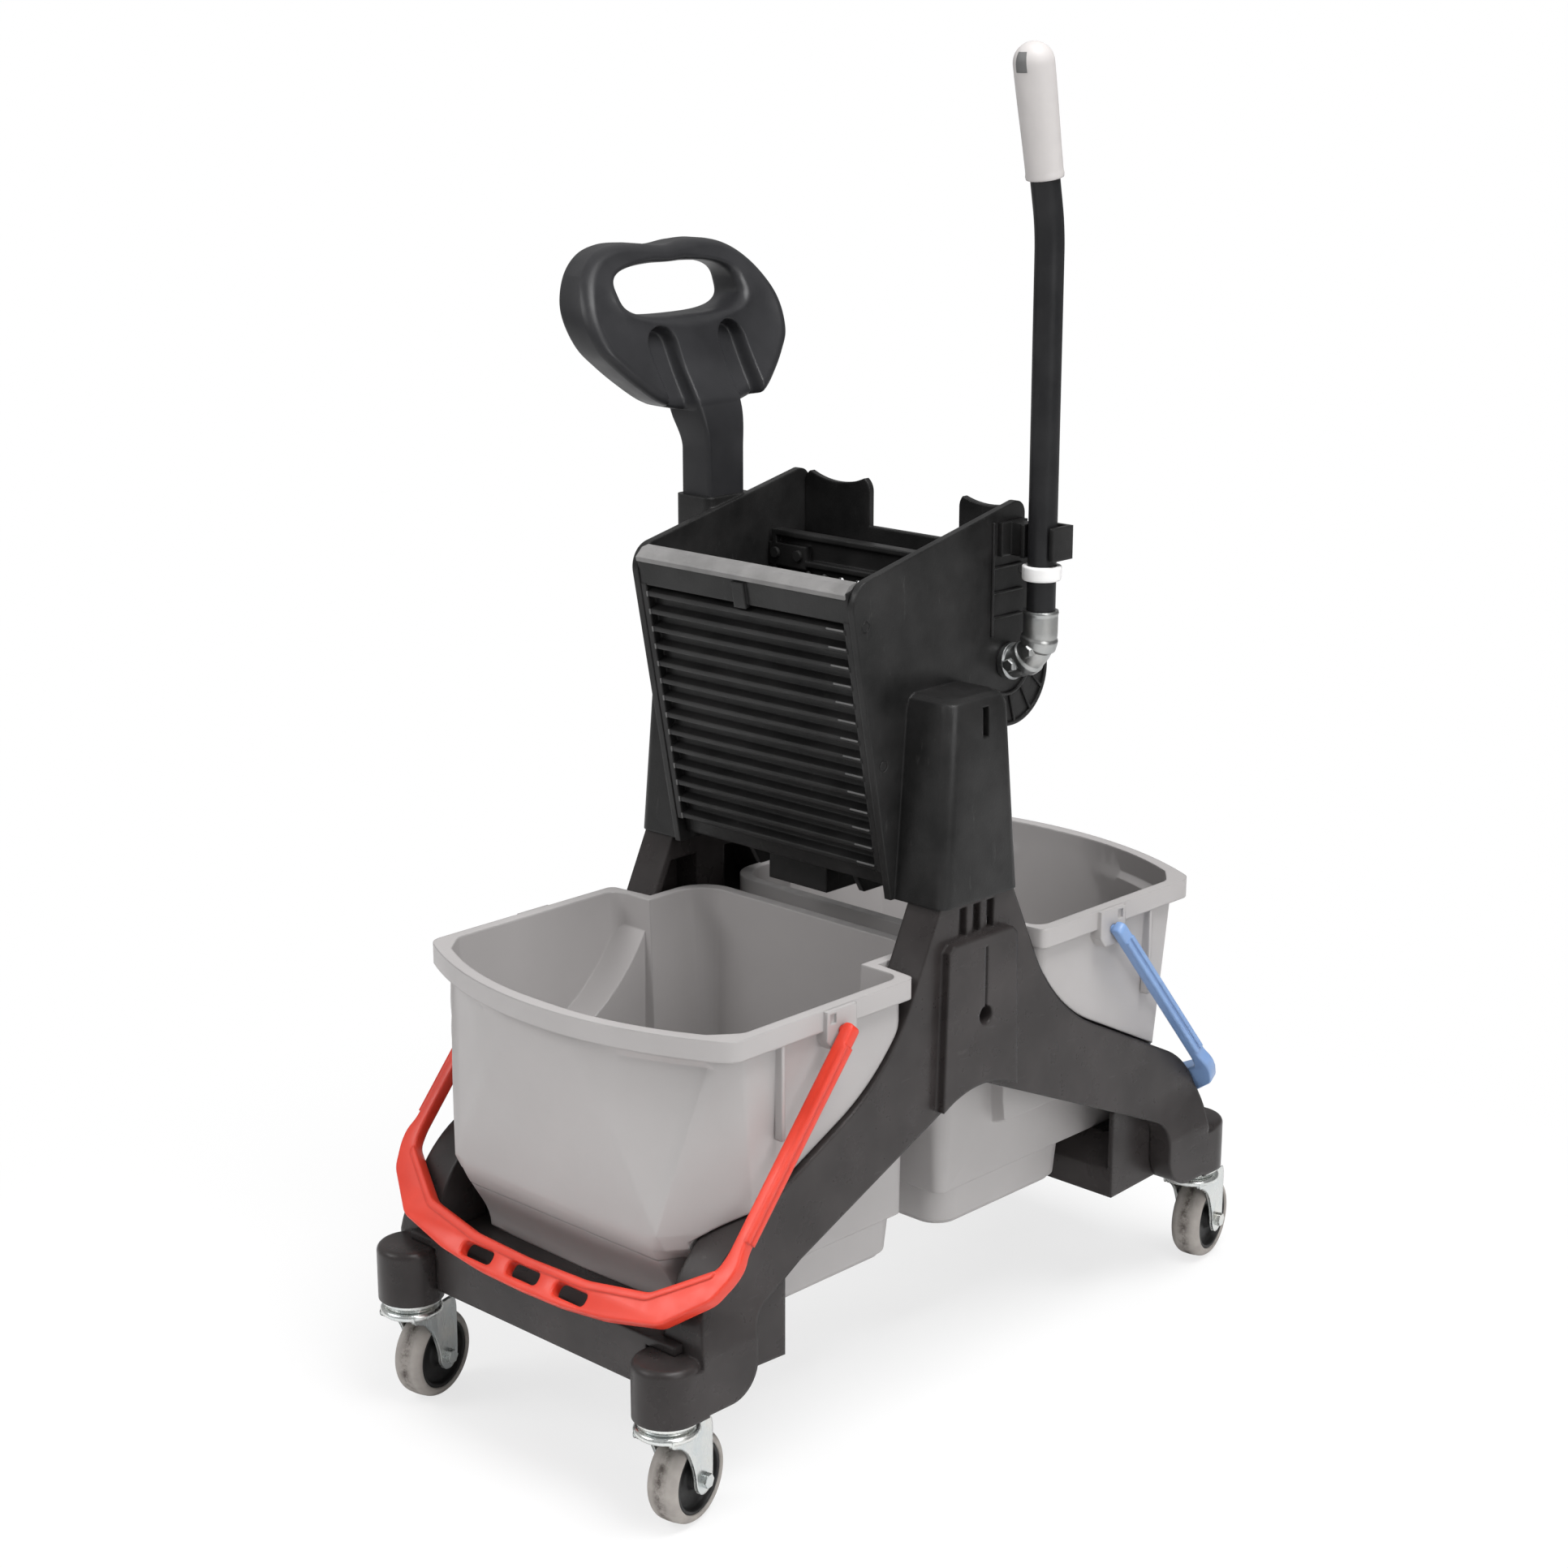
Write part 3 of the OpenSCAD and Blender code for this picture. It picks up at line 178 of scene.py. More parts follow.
plasticLooks = {
    "frameBlack": {"dark": (0.024, 0.0208, 0.0205), "light": (0.041, 0.036, 0.0355), "cloudScale": 14.0,
                   "scuffTone": (0.12, 0.112, 0.112), "scuffShare": 0.35, "scuffScale": 26.0,
                   "scuffRun": (4, 1, 6), "rough": (0.24, 0.36), "poreScale": 900.0, "pore": 0.05,
                   "edge": 0.004, "gloss": 0.24},
    "wringerBlack": {"dark": (0.008, 0.008, 0.008), "light": (0.021, 0.0205, 0.0205), "cloudScale": 16.0,
                     "scuffTone": (0.07, 0.068, 0.067), "scuffShare": 0.5, "scuffScale": 30.0,
                     "scuffRun": (5, 5, 1), "rough": (0.3, 0.46), "poreScale": 500.0, "pore": 0.2,
                     "edge": 0.0025, "gloss": 0.26},
    # painted light: grey that is the highlight on the black rib tips and the shade in the grey grip's slot
    "ribGrey": {"dark": (0.10, 0.10, 0.10), "light": (0.15, 0.148, 0.147), "cloudScale": 30.0,
                "scuffTone": (0.2, 0.2, 0.2), "scuffShare": 0.2, "scuffScale": 40.0,
                "scuffRun": (1, 5, 5), "rough": (0.4, 0.5), "poreScale": 900.0, "pore": 0.05,
                "edge": 0.0004, "gloss": 0.4},
    "handleBlack": {"dark": (0.016, 0.016, 0.0175), "light": (0.026, 0.026, 0.028), "cloudScale": 12.0,
                    "scuffTone": (0.06, 0.06, 0.06), "scuffShare": 0.2, "scuffScale": 24.0,
                    "scuffRun": (3, 3, 1), "rough": (0.3, 0.44), "poreScale": 1000.0, "pore": 0.08,
                    "edge": 0.002, "gloss": 0.26},
    "bucketGrey": {"dark": (0.37, 0.355, 0.352), "light": (0.41, 0.393, 0.39), "cloudScale": 5.0,
                   "scuffTone": (0.5, 0.48, 0.475), "scuffShare": 0.12, "scuffScale": 30.0,
                   "scuffRun": (5, 5, 1), "rough": (0.36, 0.5), "poreScale": 700.0, "pore": 0.04,
                   "edge": 0.0025, "gloss": 0.45},
    "bailRed": {"dark": (0.62, 0.036, 0.016), "light": (0.70, 0.048, 0.024), "cloudScale": 20.0,
                "scuffTone": (0.78, 0.13, 0.08), "scuffShare": 0.12, "scuffScale": 40.0,
                "scuffRun": (1, 4, 4), "rough": (0.3, 0.44), "poreScale": 700.0, "pore": 0.05,
                "edge": 0.003, "gloss": 0.5},
    "bailBlue": {"dark": (0.17, 0.28, 0.52), "light": (0.2, 0.33, 0.58), "cloudScale": 20.0,
                 "scuffTone": (0.45, 0.55, 0.75), "scuffShare": 0.12, "scuffScale": 40.0,
                 "scuffRun": (1, 4, 4), "rough": (0.3, 0.44), "poreScale": 700.0, "pore": 0.05,
                 "edge": 0.003, "gloss": 0.5},
    "gripGrey": {"dark": (0.43, 0.41, 0.405), "light": (0.49, 0.468, 0.46), "cloudScale": 18.0,
                 "scuffTone": (0.4, 0.38, 0.37), "scuffShare": 0.15, "scuffScale": 40.0,
                 "scuffRun": (4, 4, 1), "rough": (0.4, 0.55), "poreScale": 900.0, "pore": 0.06,
                 "edge": 0.002, "gloss": 0.4},
    "collarWhite": {"dark": (0.72, 0.715, 0.71), "light": (0.8, 0.79, 0.785), "cloudScale": 30.0,
                    "scuffTone": (0.5, 0.49, 0.48), "scuffShare": 0.2, "scuffScale": 60.0,
                    "scuffRun": (4, 4, 1), "rough": (0.4, 0.55), "poreScale": 900.0, "pore": 0.05,
                    "edge": 0.0015, "gloss": 0.4},
    # painted highlight: the ledge's light grey stands for light reflected on the front wall's flat top
    "ledgeGrey": {"dark": (0.15, 0.147, 0.145), "light": (0.21, 0.206, 0.203), "cloudScale": 30.0,
                  "scuffTone": (0.4, 0.39, 0.38), "scuffShare": 0.25, "scuffScale": 40.0,
                  "scuffRun": (1, 5, 5), "rough": (0.45, 0.6), "poreScale": 700.0, "pore": 0.08,
                  "edge": 0.001, "gloss": 0.4},
    "tubeBlack": {"dark": (0.010, 0.010, 0.011), "light": (0.016, 0.016, 0.017), "cloudScale": 26.0,
                  "scuffTone": (0.05, 0.05, 0.053), "scuffShare": 0.25, "scuffScale": 40.0,
                  "scuffRun": (6, 6, 1), "rough": (0.28, 0.4), "poreScale": 1200.0, "pore": 0.05,
                  "edge": 0.001, "gloss": 0.25},
    "hubBlack": {"dark": (0.014, 0.014, 0.014), "light": (0.025, 0.0245, 0.0245), "cloudScale": 40.0,
                 "scuffTone": (0.09, 0.09, 0.085), "scuffShare": 0.25, "scuffScale": 60.0,
                 "scuffRun": (1, 1, 1), "rough": (0.4, 0.55), "poreScale": 900.0, "pore": 0.1,
                 "edge": 0.0012, "gloss": 0.25},
    "tyreGrey": {"dark": (0.29, 0.268, 0.25), "light": (0.36, 0.335, 0.31), "cloudScale": 60.0,
                 "scuffTone": (0.2, 0.18, 0.165), "scuffShare": 0.35, "scuffScale": 45.0,
                 "scuffRun": (1, 1, 1), "rough": (0.5, 0.7), "poreScale": 700.0, "pore": 0.12,
                 "edge": 0.001, "gloss": 0.3,
                 "grime": (0.075, 0.062, 0.055), "grimeReach": (0.05, 0.5), "grimeScale": 110.0},
}
zincLooks = {
    "zinc": {"cool": (0.56, 0.6, 0.61), "warm": (0.66, 0.66, 0.63), "spangle": 240.0,
             "rough": (0.2, 0.38), "edge": 0.0012},
    "castZinc": {"cool": (0.30, 0.315, 0.32), "warm": (0.38, 0.38, 0.37), "spangle": 320.0,
                 "rough": (0.3, 0.46), "edge": 0.0012},
}
finishes = {name: mouldedPlastic(name, look) for name, look in plasticLooks.items()}
finishes |= {name: zincPlate(name, look) for name, look in zincLooks.items()}
print("materials made,", len(finishes))

finishOfSlot = {"black_plastic": "wringerBlack", "grey_plastic": "bucketGrey", "red_plastic": "bailRed",
                "blue_plastic": "bailBlue", "zinc": "zinc", "hub_plastic": "hubBlack",
                "tyre_rubber": "tyreGrey", "black_tube": "tubeBlack", "grip_plastic": "gripGrey",
                "white_plastic": "collarWhite", "pale_plastic": "ledgeGrey"}
# the hopper and rack screws are black as painted shade: they stand for the dark of their holes
finishOfNode = {"side_frame_right": "frameBlack", "side_frame_left": "frameBlack", "front_beam": "frameBlack",
                "rear_beam": "frameBlack", "push_handle": "handleBlack", "hopper_screws": "wringerBlack",
                "rack_screws": "hubBlack", "lever_elbow": "castZinc"}
madeNodes = set()


# objects of the scene

def addObject(name, data):
    thing = bpy.data.objects.new(name, data)
    bpy.context.scene.collection.objects.link(thing)
    return thing


# a small piece of the scene's own that rides on a body and stands for no node
def addTrim(name, mesh, body, slot, finish):
    piece = addObject(name, mesh)
    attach(piece, body)
    mesh.materials.append(finishes[finish])
    return piece


# a piece that takes a node's place
def addPiece(name, mesh, node):
    slot = slotOf[node]
    piece = addTrim(name, mesh, bodyOf[node], slot, finishOfNode.get(node, finishOfSlot[slot]))
    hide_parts(node)
    madeNodes.add(node)


def camelName(node):
    words = node.split("_")
    return words[0] + "".join(w.capitalize() for w in words[1:])


# mesh helpers

def meshOf(name, points, faces):
    mesh = bpy.data.meshes.new(name)
    mesh.from_pydata(points.tolist(), [], faces)
    return mesh


def meshPoints(mesh):
    flat = np.empty(len(mesh.vertices) * 3)
    mesh.vertices.foreach_get("co", flat)
    return flat.reshape(-1, 3)


# smooth shading, with a crease where faces turn by more than sharp degrees
def smoothed(mesh, sharp=28.0):
    mesh.shade_smooth()
    mesh.set_sharp_from_angle(angle=math.radians(sharp))
    return mesh


# a node's own triangles with shared corners joined, so curved faces shade as one
def weldedShell(node):
    source = nodes[node].data
    source.calc_loop_triangles()
    corners = np.empty(len(source.loop_triangles) * 3, dtype=np.int32)
    source.loop_triangles.foreach_get("vertices", corners)
    perMetre = 1e6  # corners are joined within a micrometre
    grid = np.round(meshPoints(source) * perMetre).astype(np.int64)
    unique, back = np.unique(grid, axis=0, return_inverse=True)
    faces = back.reshape(-1)[corners].reshape(-1, 3)
    a, b, c = faces.T
    return unique / perMetre, faces[(a != b) & (b != c) & (a != c)].tolist()


# faces of a grid of points: rows join to the next row, columns close up on themselves
def gridFaces(rows, cols, closeRows):
    i = np.arange(rows if closeRows else rows - 1)[:, None]
    j = np.arange(cols)[None, :]
    nextRow = (i + 1) % rows * cols
    nextCol = (j + 1) % cols
    corners = [i * cols + j, i * cols + nextCol, nextRow + nextCol, nextRow + j]
    return np.stack(corners, axis=-1).reshape(-1, 4)


# faces of one grid, with a flat cap at each end where its rows stay open
def gridShell(grid, closeRows):
    rows, cols = grid.shape[:2]
    faces = gridFaces(rows, cols, closeRows).tolist()
    if not closeRows:
        faces += [np.arange(cols)[::-1].tolist(), (np.arange(cols) + (rows - 1) * cols).tolist()]
    return faces


# joins grids and ready-made shells into one mesh, its faces turned outward
def meshFromParts(name, parts, sharp=40.0):
    points, faces, start = [], [], 0
    for shape, rest in parts:
        own = rest if isinstance(rest, list) else gridShell(shape, rest)
        flat = shape.reshape(-1, 3)
        points.append(flat)
        faces += [[i + start for i in face] for face in own]
        start += len(flat)
    mesh = meshOf(name, np.concatenate(points), faces)
    shell = bmesh.new()
    shell.from_mesh(mesh)
    bmesh.ops.recalc_face_normals(shell, faces=shell.faces)
    shell.to_mesh(mesh)
    shell.free()
    return smoothed(mesh, sharp)


# rectangle with rounded corners: each corner's centre plus a quarter turn, for half sizes or arrays of them
def roundedBox(halfA, halfB, edge, perCorner=6):
    step = np.arange(4 * perCorner)
    turn = step // perCorner
    angle = (turn + step % perCorner / (perCorner - 1)) * np.pi / 2
    signA = np.where((turn == 0) | (turn == 3), 1.0, -1.0)
    signB = np.where(turn < 2, 1.0, -1.0)
    a, b, e = (np.asarray(size, float)[..., None] for size in (halfA, halfB, edge))
    across = signA * (a - e) + e * np.cos(angle)
    along = signB * (b - e) + e * np.sin(angle)
    return np.stack(np.broadcast_arrays(across, along), axis=-1)


# circle of one radius, or of an array of radii along a path
def circles(radius, steps=48):
    v = np.linspace(0, 2 * np.pi, steps, endpoint=False)
    r = np.asarray(radius, float)[..., None]
    return np.stack([r * np.cos(v), r * np.sin(v)], axis=-1)


# a profile carried along a flat path: first number runs along side x heading, second along side
def carried(path, side, profile):
    side = np.asarray(side, float)
    ahead = np.gradient(path, axis=0)
    ahead /= np.linalg.norm(ahead, axis=1, keepdims=True)
    up = np.cross(side, ahead)
    return path[:, None, :] + profile[..., 0:1] * up[:, None, :] + profile[..., 1:2] * side


# a closed profile of radius and offset, spun round an axle
def spun(profile, centre, axis, steps=96):
    axis = np.asarray(axis, float) / np.linalg.norm(axis)
    across = np.cross(axis, (0, 0, 1) if abs(axis[2]) < 0.9 else (1, 0, 0))
    across /= np.linalg.norm(across)
    third = np.cross(axis, across)
    v = np.linspace(0, 2 * np.pi, steps, endpoint=False)[:, None, None]
    r, x = profile[None, :, 0:1], profile[None, :, 1:2]
    return np.asarray(centre) + x * axis + r * (np.cos(v) * across + np.sin(v) * third)


# smooth closed curve through points: each span is a cubic led by its neighbours
def smoothRing(points, steps):
    p = np.asarray(points, float)
    t = (np.arange(steps) / steps)[None, :, None]
    a, b, c, d = (np.roll(p, k, axis=0)[:, None, :] for k in (1, 0, -1, -2))
    square, cube = 2 * a - 5 * b + 4 * c - d, 3 * b - a - 3 * c + d
    return (0.5 * (2 * b + (c - a) * t + square * t ** 2 + cube * t ** 3)).reshape(-1, 2)


# 0 to 1 with level ends: 3x^2 - 2x^3
def smoothStep(x):
    x = np.clip(x, 0, 1)
    return x * x * (3 - 2 * x)


# corners of a ring of points rounded off: a curve from one side to the next, led by the corner
def softCorners(points, cut, steps=7):
    p = np.asarray(points, float)
    back, ahead = np.roll(p, 1, axis=0) - p, np.roll(p, -1, axis=0) - p
    backLength, aheadLength = np.linalg.norm(back, axis=1), np.linalg.norm(ahead, axis=1)
    cut = np.minimum(cut, 0.49 * np.minimum(backLength, aheadLength))  # two cuts never meet on a side
    a = p + back * (cut / backLength)[:, None]
    b = p + ahead * (cut / aheadLength)[:, None]
    t = np.linspace(0, 1, steps)[None, :, None]
    return ((1 - t) ** 2 * a[:, None] + 2 * t * (1 - t) * p[:, None] + t ** 2 * b[:, None]).reshape(-1, 2)


# a plate with holes: every ring rises from face to face through a quarter round at each edge, with flat caps
def roundPlate(rings, low, high, edge, place, perEdge=4):
    turn = np.linspace(0, np.pi / 2, perEdge)
    level = np.concatenate([low + edge * (1 - np.cos(turn)), high - edge * (1 - np.cos(turn[::-1]))])
    inset = edge * (1 - np.sin(np.concatenate([turn, turn[::-1]])))
    points, faces, lows, highs, flats, start = [], [], [], [], [], 0
    for ring in rings:
        ahead = np.roll(ring, -1, axis=0) - np.roll(ring, 1, axis=0)
        inward = np.stack([-ahead[:, 1], ahead[:, 0]], axis=1) / np.linalg.norm(ahead, axis=1, keepdims=True)
        flat = ring[None] + inset[:, None, None] * inward[None]
        grid = np.concatenate([flat, np.broadcast_to(level[:, None, None], flat.shape[:2] + (1,))], axis=2)
        rows, cols = grid.shape[:2]
        points.append(grid.reshape(-1, 3))
        faces += (gridFaces(rows, cols, False) + start).tolist()
        lows.append(np.arange(cols) + start)
        highs.append(lows[-1] + (rows - 1) * cols)
        flats.append([Vector((*p, 0.0)) for p in flat[0].tolist()])
        start += rows * cols
    lows, highs = np.concatenate(lows), np.concatenate(highs)
    caps = np.array(tessellate_polygon(flats))
    faces += lows[caps].tolist() + highs[caps[:, ::-1]].tolist()
    return place(np.concatenate(points)), faces


# push handle: a ring between hand hole and outer curve, sheared outward, on a column that leans into it.
# outline and dip are in mm, from the bend up
handle = {"foot": (-0.1515, 0.015), "bottom": 0.637, "bend": 0.832, "lean": math.radians(26.0),
          "bendRadius": 0.08, "halfThick": 0.018, "halfWide": 0.023, "neckTop": 0.086, "edge": 0.004,
          "swell": (0.0016, 0.0045), "swellFrom": -0.02, "swellRun": 0.04,
          "sink": 0.006, "sinkFrom": 0.015, "sinkRun": 0.065,
          "outline": [(0, 17), (24, 17), (46, 20), (66, 27), (86, 42), (103, 58), (116, 74), (121, 96),
                      (117, 116), (104, 138), (84, 153), (58, 160), (28, 160)],
          "dip": 157, "hole": (0.075, 0.0225, 3.0), "holeAt": 0.120, "halfLoop": 0.020, "halfBar": 0.016,
          "barFrom": 0.15, "barRun": 0.04, "loopEdge": 0.0095, "edgeShare": 0.85,
          "dish": 0.003, "dishFrom": 0.016, "dishRun": 0.01,
          "grooveFrom": (0.043, -0.05), "grooveTo": (0.043, 0.074), "grooveHalf": 0.0145,
          "grooveDeep": 0.013, "grooveSoft": 0.007,
          "steps": 480, "spanSteps": 16, "arcSteps": 7, "faceSteps": 40, "columnSteps": 6, "neckSteps": 14,
          "sharp": 50.0}


# round the hole by phi, and round a section whose corners are arcs: flat goes 1 at the rim to -1 at the hole,
# turnR and turnT are a corner's own turn outward and forward
def handleLoop(h):
    half = np.array(h["outline"], float)
    ring = smoothRing(np.concatenate([half, [[0, h["dip"]]], half[:0:-1] * (-1, 1)]), h["spanSteps"]) * mm
    phi = np.linspace(0, 2 * np.pi, h["steps"], endpoint=False)
    bearing = np.arctan2(ring[:, 1] - h["holeAt"], ring[:, 0])
    order = np.argsort(bearing)
    reach = np.hypot(ring[:, 1] - h["holeAt"], ring[:, 0])
    outer = np.interp(phi, bearing[order], reach[order], period=2 * np.pi)[:, None]
    wide, tall, power = h["hole"]
    inner = (np.abs(np.cos(phi)) / wide) ** power + (np.abs(np.sin(phi)) / tall) ** power
    inner = (inner ** (-1 / power))[:, None]
    arc = np.linspace(0, np.pi / 2, h["arcSteps"])
    face = np.linspace(1, -1, h["faceSteps"] + 2)[1:-1]
    rim, level = np.ones(len(arc)), np.ones(len(face))
    flat = np.concatenate([rim, face, -rim, -rim, face[::-1], rim])
    turnR = np.concatenate([np.cos(arc), 0 * level, -np.sin(arc), -np.cos(arc), 0 * level, np.sin(arc)])
    turnT = np.concatenate([np.sin(arc), level, np.cos(arc), -np.sin(arc), -level, -np.cos(arc)])
    front = turnT > -tiny
    rise = h["holeAt"] + 0.5 * (outer + inner) * np.sin(phi)[:, None]
    thicker = smoothStep((h["barFrom"] - rise) / h["barRun"])
    thick = h["halfBar"] + (h["halfLoop"] - h["halfBar"]) * thicker
    breadth = (outer - inner) / 2
    edge = np.minimum(h["loopEdge"], h["edgeShare"] * breadth)
    out = (outer + inner) / 2 + (breadth - edge) * flat + edge * turnR
    t = np.where(front, 1, -1) * (thick - edge) + edge * turnT
    y, s = out * np.cos(phi)[:, None], h["holeAt"] + out * np.sin(phi)[:, None]
    t = t - front * h["dish"] * (1 - flat ** 2) * smoothStep((breadth - h["dishFrom"]) / h["dishRun"])
    (ay, az), (by, bz) = h["grooveFrom"], h["grooveTo"]
    along = ((np.abs(y) - ay) * (by - ay) + (s - az) * (bz - az)) / ((by - ay) ** 2 + (bz - az) ** 2)
    along = np.clip(along, 0, 1)
    away = np.hypot(np.abs(y) - ay - along * (by - ay), s - az - along * (bz - az)) - h["grooveHalf"]
    sunk = smoothStep(0.5 - away / h["grooveSoft"]) * h["grooveDeep"]
    t = -thick + (t + thick) * (1 - sunk / (2 * thick))
    x = h["foot"][0] - s * math.tan(h["lean"]) + t / math.cos(h["lean"])
    return np.stack([x, h["foot"][1] + y, h["bend"] + s], axis=-1)


# a rounded box carried up the column, round its bend and into the loop: it swells at the bend, then sinks in
def handleNeck(h):
    lean, r = h["lean"], h["bendRadius"]
    cut = r * math.tan(lean / 2)
    rise = np.linspace(h["bottom"], h["bend"] - cut, h["columnSteps"])
    a = np.linspace(0, lean, h["neckSteps"])[1:]
    run = np.linspace(cut, h["neckTop"], h["neckSteps"])[1:]
    x = np.concatenate([0 * rise, r * (np.cos(a) - 1), -run * math.sin(lean)]) + h["foot"][0]
    z = np.concatenate([rise, h["bend"] - cut + r * np.sin(a), h["bend"] + run * math.cos(lean)])
    path = np.stack([x, 0 * x + h["foot"][1], z], axis=1)
    swell = smoothStep((z - h["bend"] - h["swellFrom"]) / h["swellRun"])
    sink = smoothStep((z - h["bend"] - h["sinkFrom"]) / h["sinkRun"])
    halfThick = h["halfThick"] + h["swell"][0] * swell - h["sink"] * sink
    halfWide = h["halfWide"] + h["swell"][1] * swell
    return carried(path, (0, 1, 0), roundedBox(halfThick, halfWide, h["edge"]))


loopAndNeck = [(handleLoop(handle), True), (handleNeck(handle), False)]
addPiece("pushHandle", meshFromParts("pushHandle", loopAndNeck, handle["sharp"]), "push_handle")
print("handle made")


# bails: a flat bow with soft edges and three slots, a lip along the bar and two ridges on each arm.
# outer and inner are half the bow's edges, in mm across and down from the pivot
bail = {"pivotY": 0.181, "pivotZ": 0.394, "rest": math.radians(49.95), "half": 0.0058, "edge": 0.0018,
        "arm": (0.191, 0.2025), "reach": 0.297, "top": -0.0065,
        "outer": [(202.5, 197), (206.5, 209), (205, 222), (196.5, 244), (159, 278), (100, 291), (50, 296)],
        "inner": [(70, 267), (136, 256), (156, 242), (188, 219), (191, 204)], "middle": 0.269,
        "corner": 0.006, "slots": (-0.058, 0.0, 0.058), "slotAt": 0.283, "slotHalf": (0.0195, 0.0062),
        "slotRound": 0.9, "lip": (0.0008, 0.0075), "lipHigh": 0.0011, "lipSunk": 0.001, "lipCorner": 0.004,
        "lipEdge": 0.0007, "ridge": (0.0017, 0.0021), "ridgeAt": 0.0034, "ridgeRun": (0.012, 0.19),
        "ridgeSunk": 0.0002, "ridgeEdge": 0.0006, "ridgeSteps": 24, "pin": (0.18, 0.2), "pinR": 0.004,
        "pinSteps": 6, "pinSides": 32}


# the bow's own plane, turned down about the pivot to where the bail hangs
def bailPlace(b, turn):
    def place(p):
        y = b["pivotY"] + p[..., 1] * math.cos(b["rest"]) + p[..., 2] * math.sin(b["rest"])
        z = b["pivotZ"] - p[..., 1] * math.sin(b["rest"]) + p[..., 2] * math.cos(b["rest"])
        return np.stack([turn * p[..., 0], turn * y, z], axis=-1)
    return place


# the bow is a plate with holes and the lip a narrow plate on it; ridges and pins are carried along straights
def bailParts(b, turn):
    place = bailPlace(b, turn)
    (armIn, armOut), top, flip = b["arm"], b["top"], (-1, 1)
    outer, inner = np.array(b["outer"]) * mm, np.array(b["inner"]) * mm
    middle = [(0, b["middle"])]
    bow = np.concatenate([[(armOut, top)], outer, [(0, b["reach"])], outer[::-1] * flip, [(-armOut, top)],
                          [(-armIn, top)], inner[::-1] * flip, middle, inner, [(armIn, top)]])
    halfX, halfY = b["slotHalf"]
    box = np.array([(-halfX, -halfY), (-halfX, halfY), (halfX, halfY), (halfX, -halfY)])
    slots = [softCorners(box + (x, b["slotAt"]), b["slotRound"] * halfY) for x in b["slots"]]
    parts = [roundPlate([softCorners(bow, b["corner"])] + slots, -b["half"], b["half"], b["edge"], place)]
    bar = inner[:-1]  # the inner edge without the arm
    line = np.concatenate([bar[::-1], middle, bar * flip])
    lipIn, lipOut = b["lip"]
    lip = np.concatenate([line + (0, lipOut), (line + (0, lipIn))[::-1]])
    parts.append(roundPlate([softCorners(lip, b["lipCorner"])], b["half"] - b["lipSunk"],
                            b["half"] + b["lipHigh"], b["lipEdge"], place))
    run = np.linspace(*b["ridgeRun"], b["ridgeSteps"])
    for side in (-1, 1):
        for offset in (-b["ridgeAt"], b["ridgeAt"]):
            path = np.stack([0 * run + side * (armOut - b["ridgeSunk"]), run, 0 * run + offset], axis=1)
            parts.append((place(carried(path, (0, 0, 1), roundedBox(*b["ridge"], b["ridgeEdge"]))), False))
        pin = side * np.linspace(*b["pin"], b["pinSteps"])
        path = np.stack([pin, 0 * pin, 0 * pin], axis=1)
        parts.append((place(carried(path, (0, 0, 1), circles(b["pinR"], b["pinSides"]))), False))
    return parts


addPiece("frontBail", meshFromParts("frontBail", bailParts(bail, -1)), "front_bail")
addPiece("rearBail", meshFromParts("rearBail", bailParts(bail, 1)), "rear_bail")
print("bails made")


# castors: spun tyre and hub, spun fork head with two pressed legs, spun stem with its race.
# profiles are radius and height or offset in mm, a leg's is distance ahead and height; round is each one's
# corner cut in metres and its steps
castor = {"base": (0.161, 0.357), "dir": math.radians(102.0), "trail": 0.026, "axleZ": 0.040, "around": 128,
          "tyre": [(31, -14.5), (35, -14.5), (39.2, -10), (40, 0), (39.2, 10), (35, 14.5), (31, 14.5)],
          "hub": [(4.05, -13.5), (9.5, -13.5), (11, -8), (13, -6.6), (25, -6.6), (27, -8.5), (28, -13.4),
                  (31, -13.4), (31, 13.4), (28, 13.4), (27, 8.5), (25, 6.6), (13, 6.6), (11, 8),
                  (9.5, 13.5), (4.05, 13.5)],
          "head": [(5.6, 90), (22, 89.4), (26.2, 90), (28.2, 93.2), (26.4, 96.6), (22.6, 97.2), (22, 98.5),
                   (5.6, 98.5)],
          "stem": [(0.3, 84.2), (9.3, 84.2), (9.3, 89.4), (5.5, 89.6), (5.5, 98.9), (23.5, 99.2),
                   (25.6, 100.4), (26.6, 102.6), (26.9, 104.9), (5.5, 104.9), (5.5, 144), (0.3, 144)],
          "leg": [(-21, 93.6), (-20, 88.6), (-8, 84), (3, 75), (10.5, 60), (14.6, 46), (15.2, 37), (20, 29.6),
                  (26, 28), (32, 29.6), (37, 37), (37.4, 50), (37.5, 86), (35, 93.6)],
          "round": {"tyre": (0.003, 7), "hub": (0.0011, 5), "head": (0.0026, 8), "stem": (0.0016, 6),
                    "leg": (0.0065, 7)},
          "tyreHalf": 0.0145, "legAt": 0.0175, "legHalf": 0.0015, "legEdge": 0.0009}
castorCorners = {"fr": (1, -1), "fl": (-1, -1), "rr": (1, 1), "rl": (-1, 1)}


# a profile in metres with its corners rounded
def castorProfile(c, name):
    return softCorners(np.array(c[name]) * mm, *c["round"][name])


def castorBase(c, sign):
    return np.array([sign[0] * c["base"][0], sign[1] * c["base"][1], 0.0])


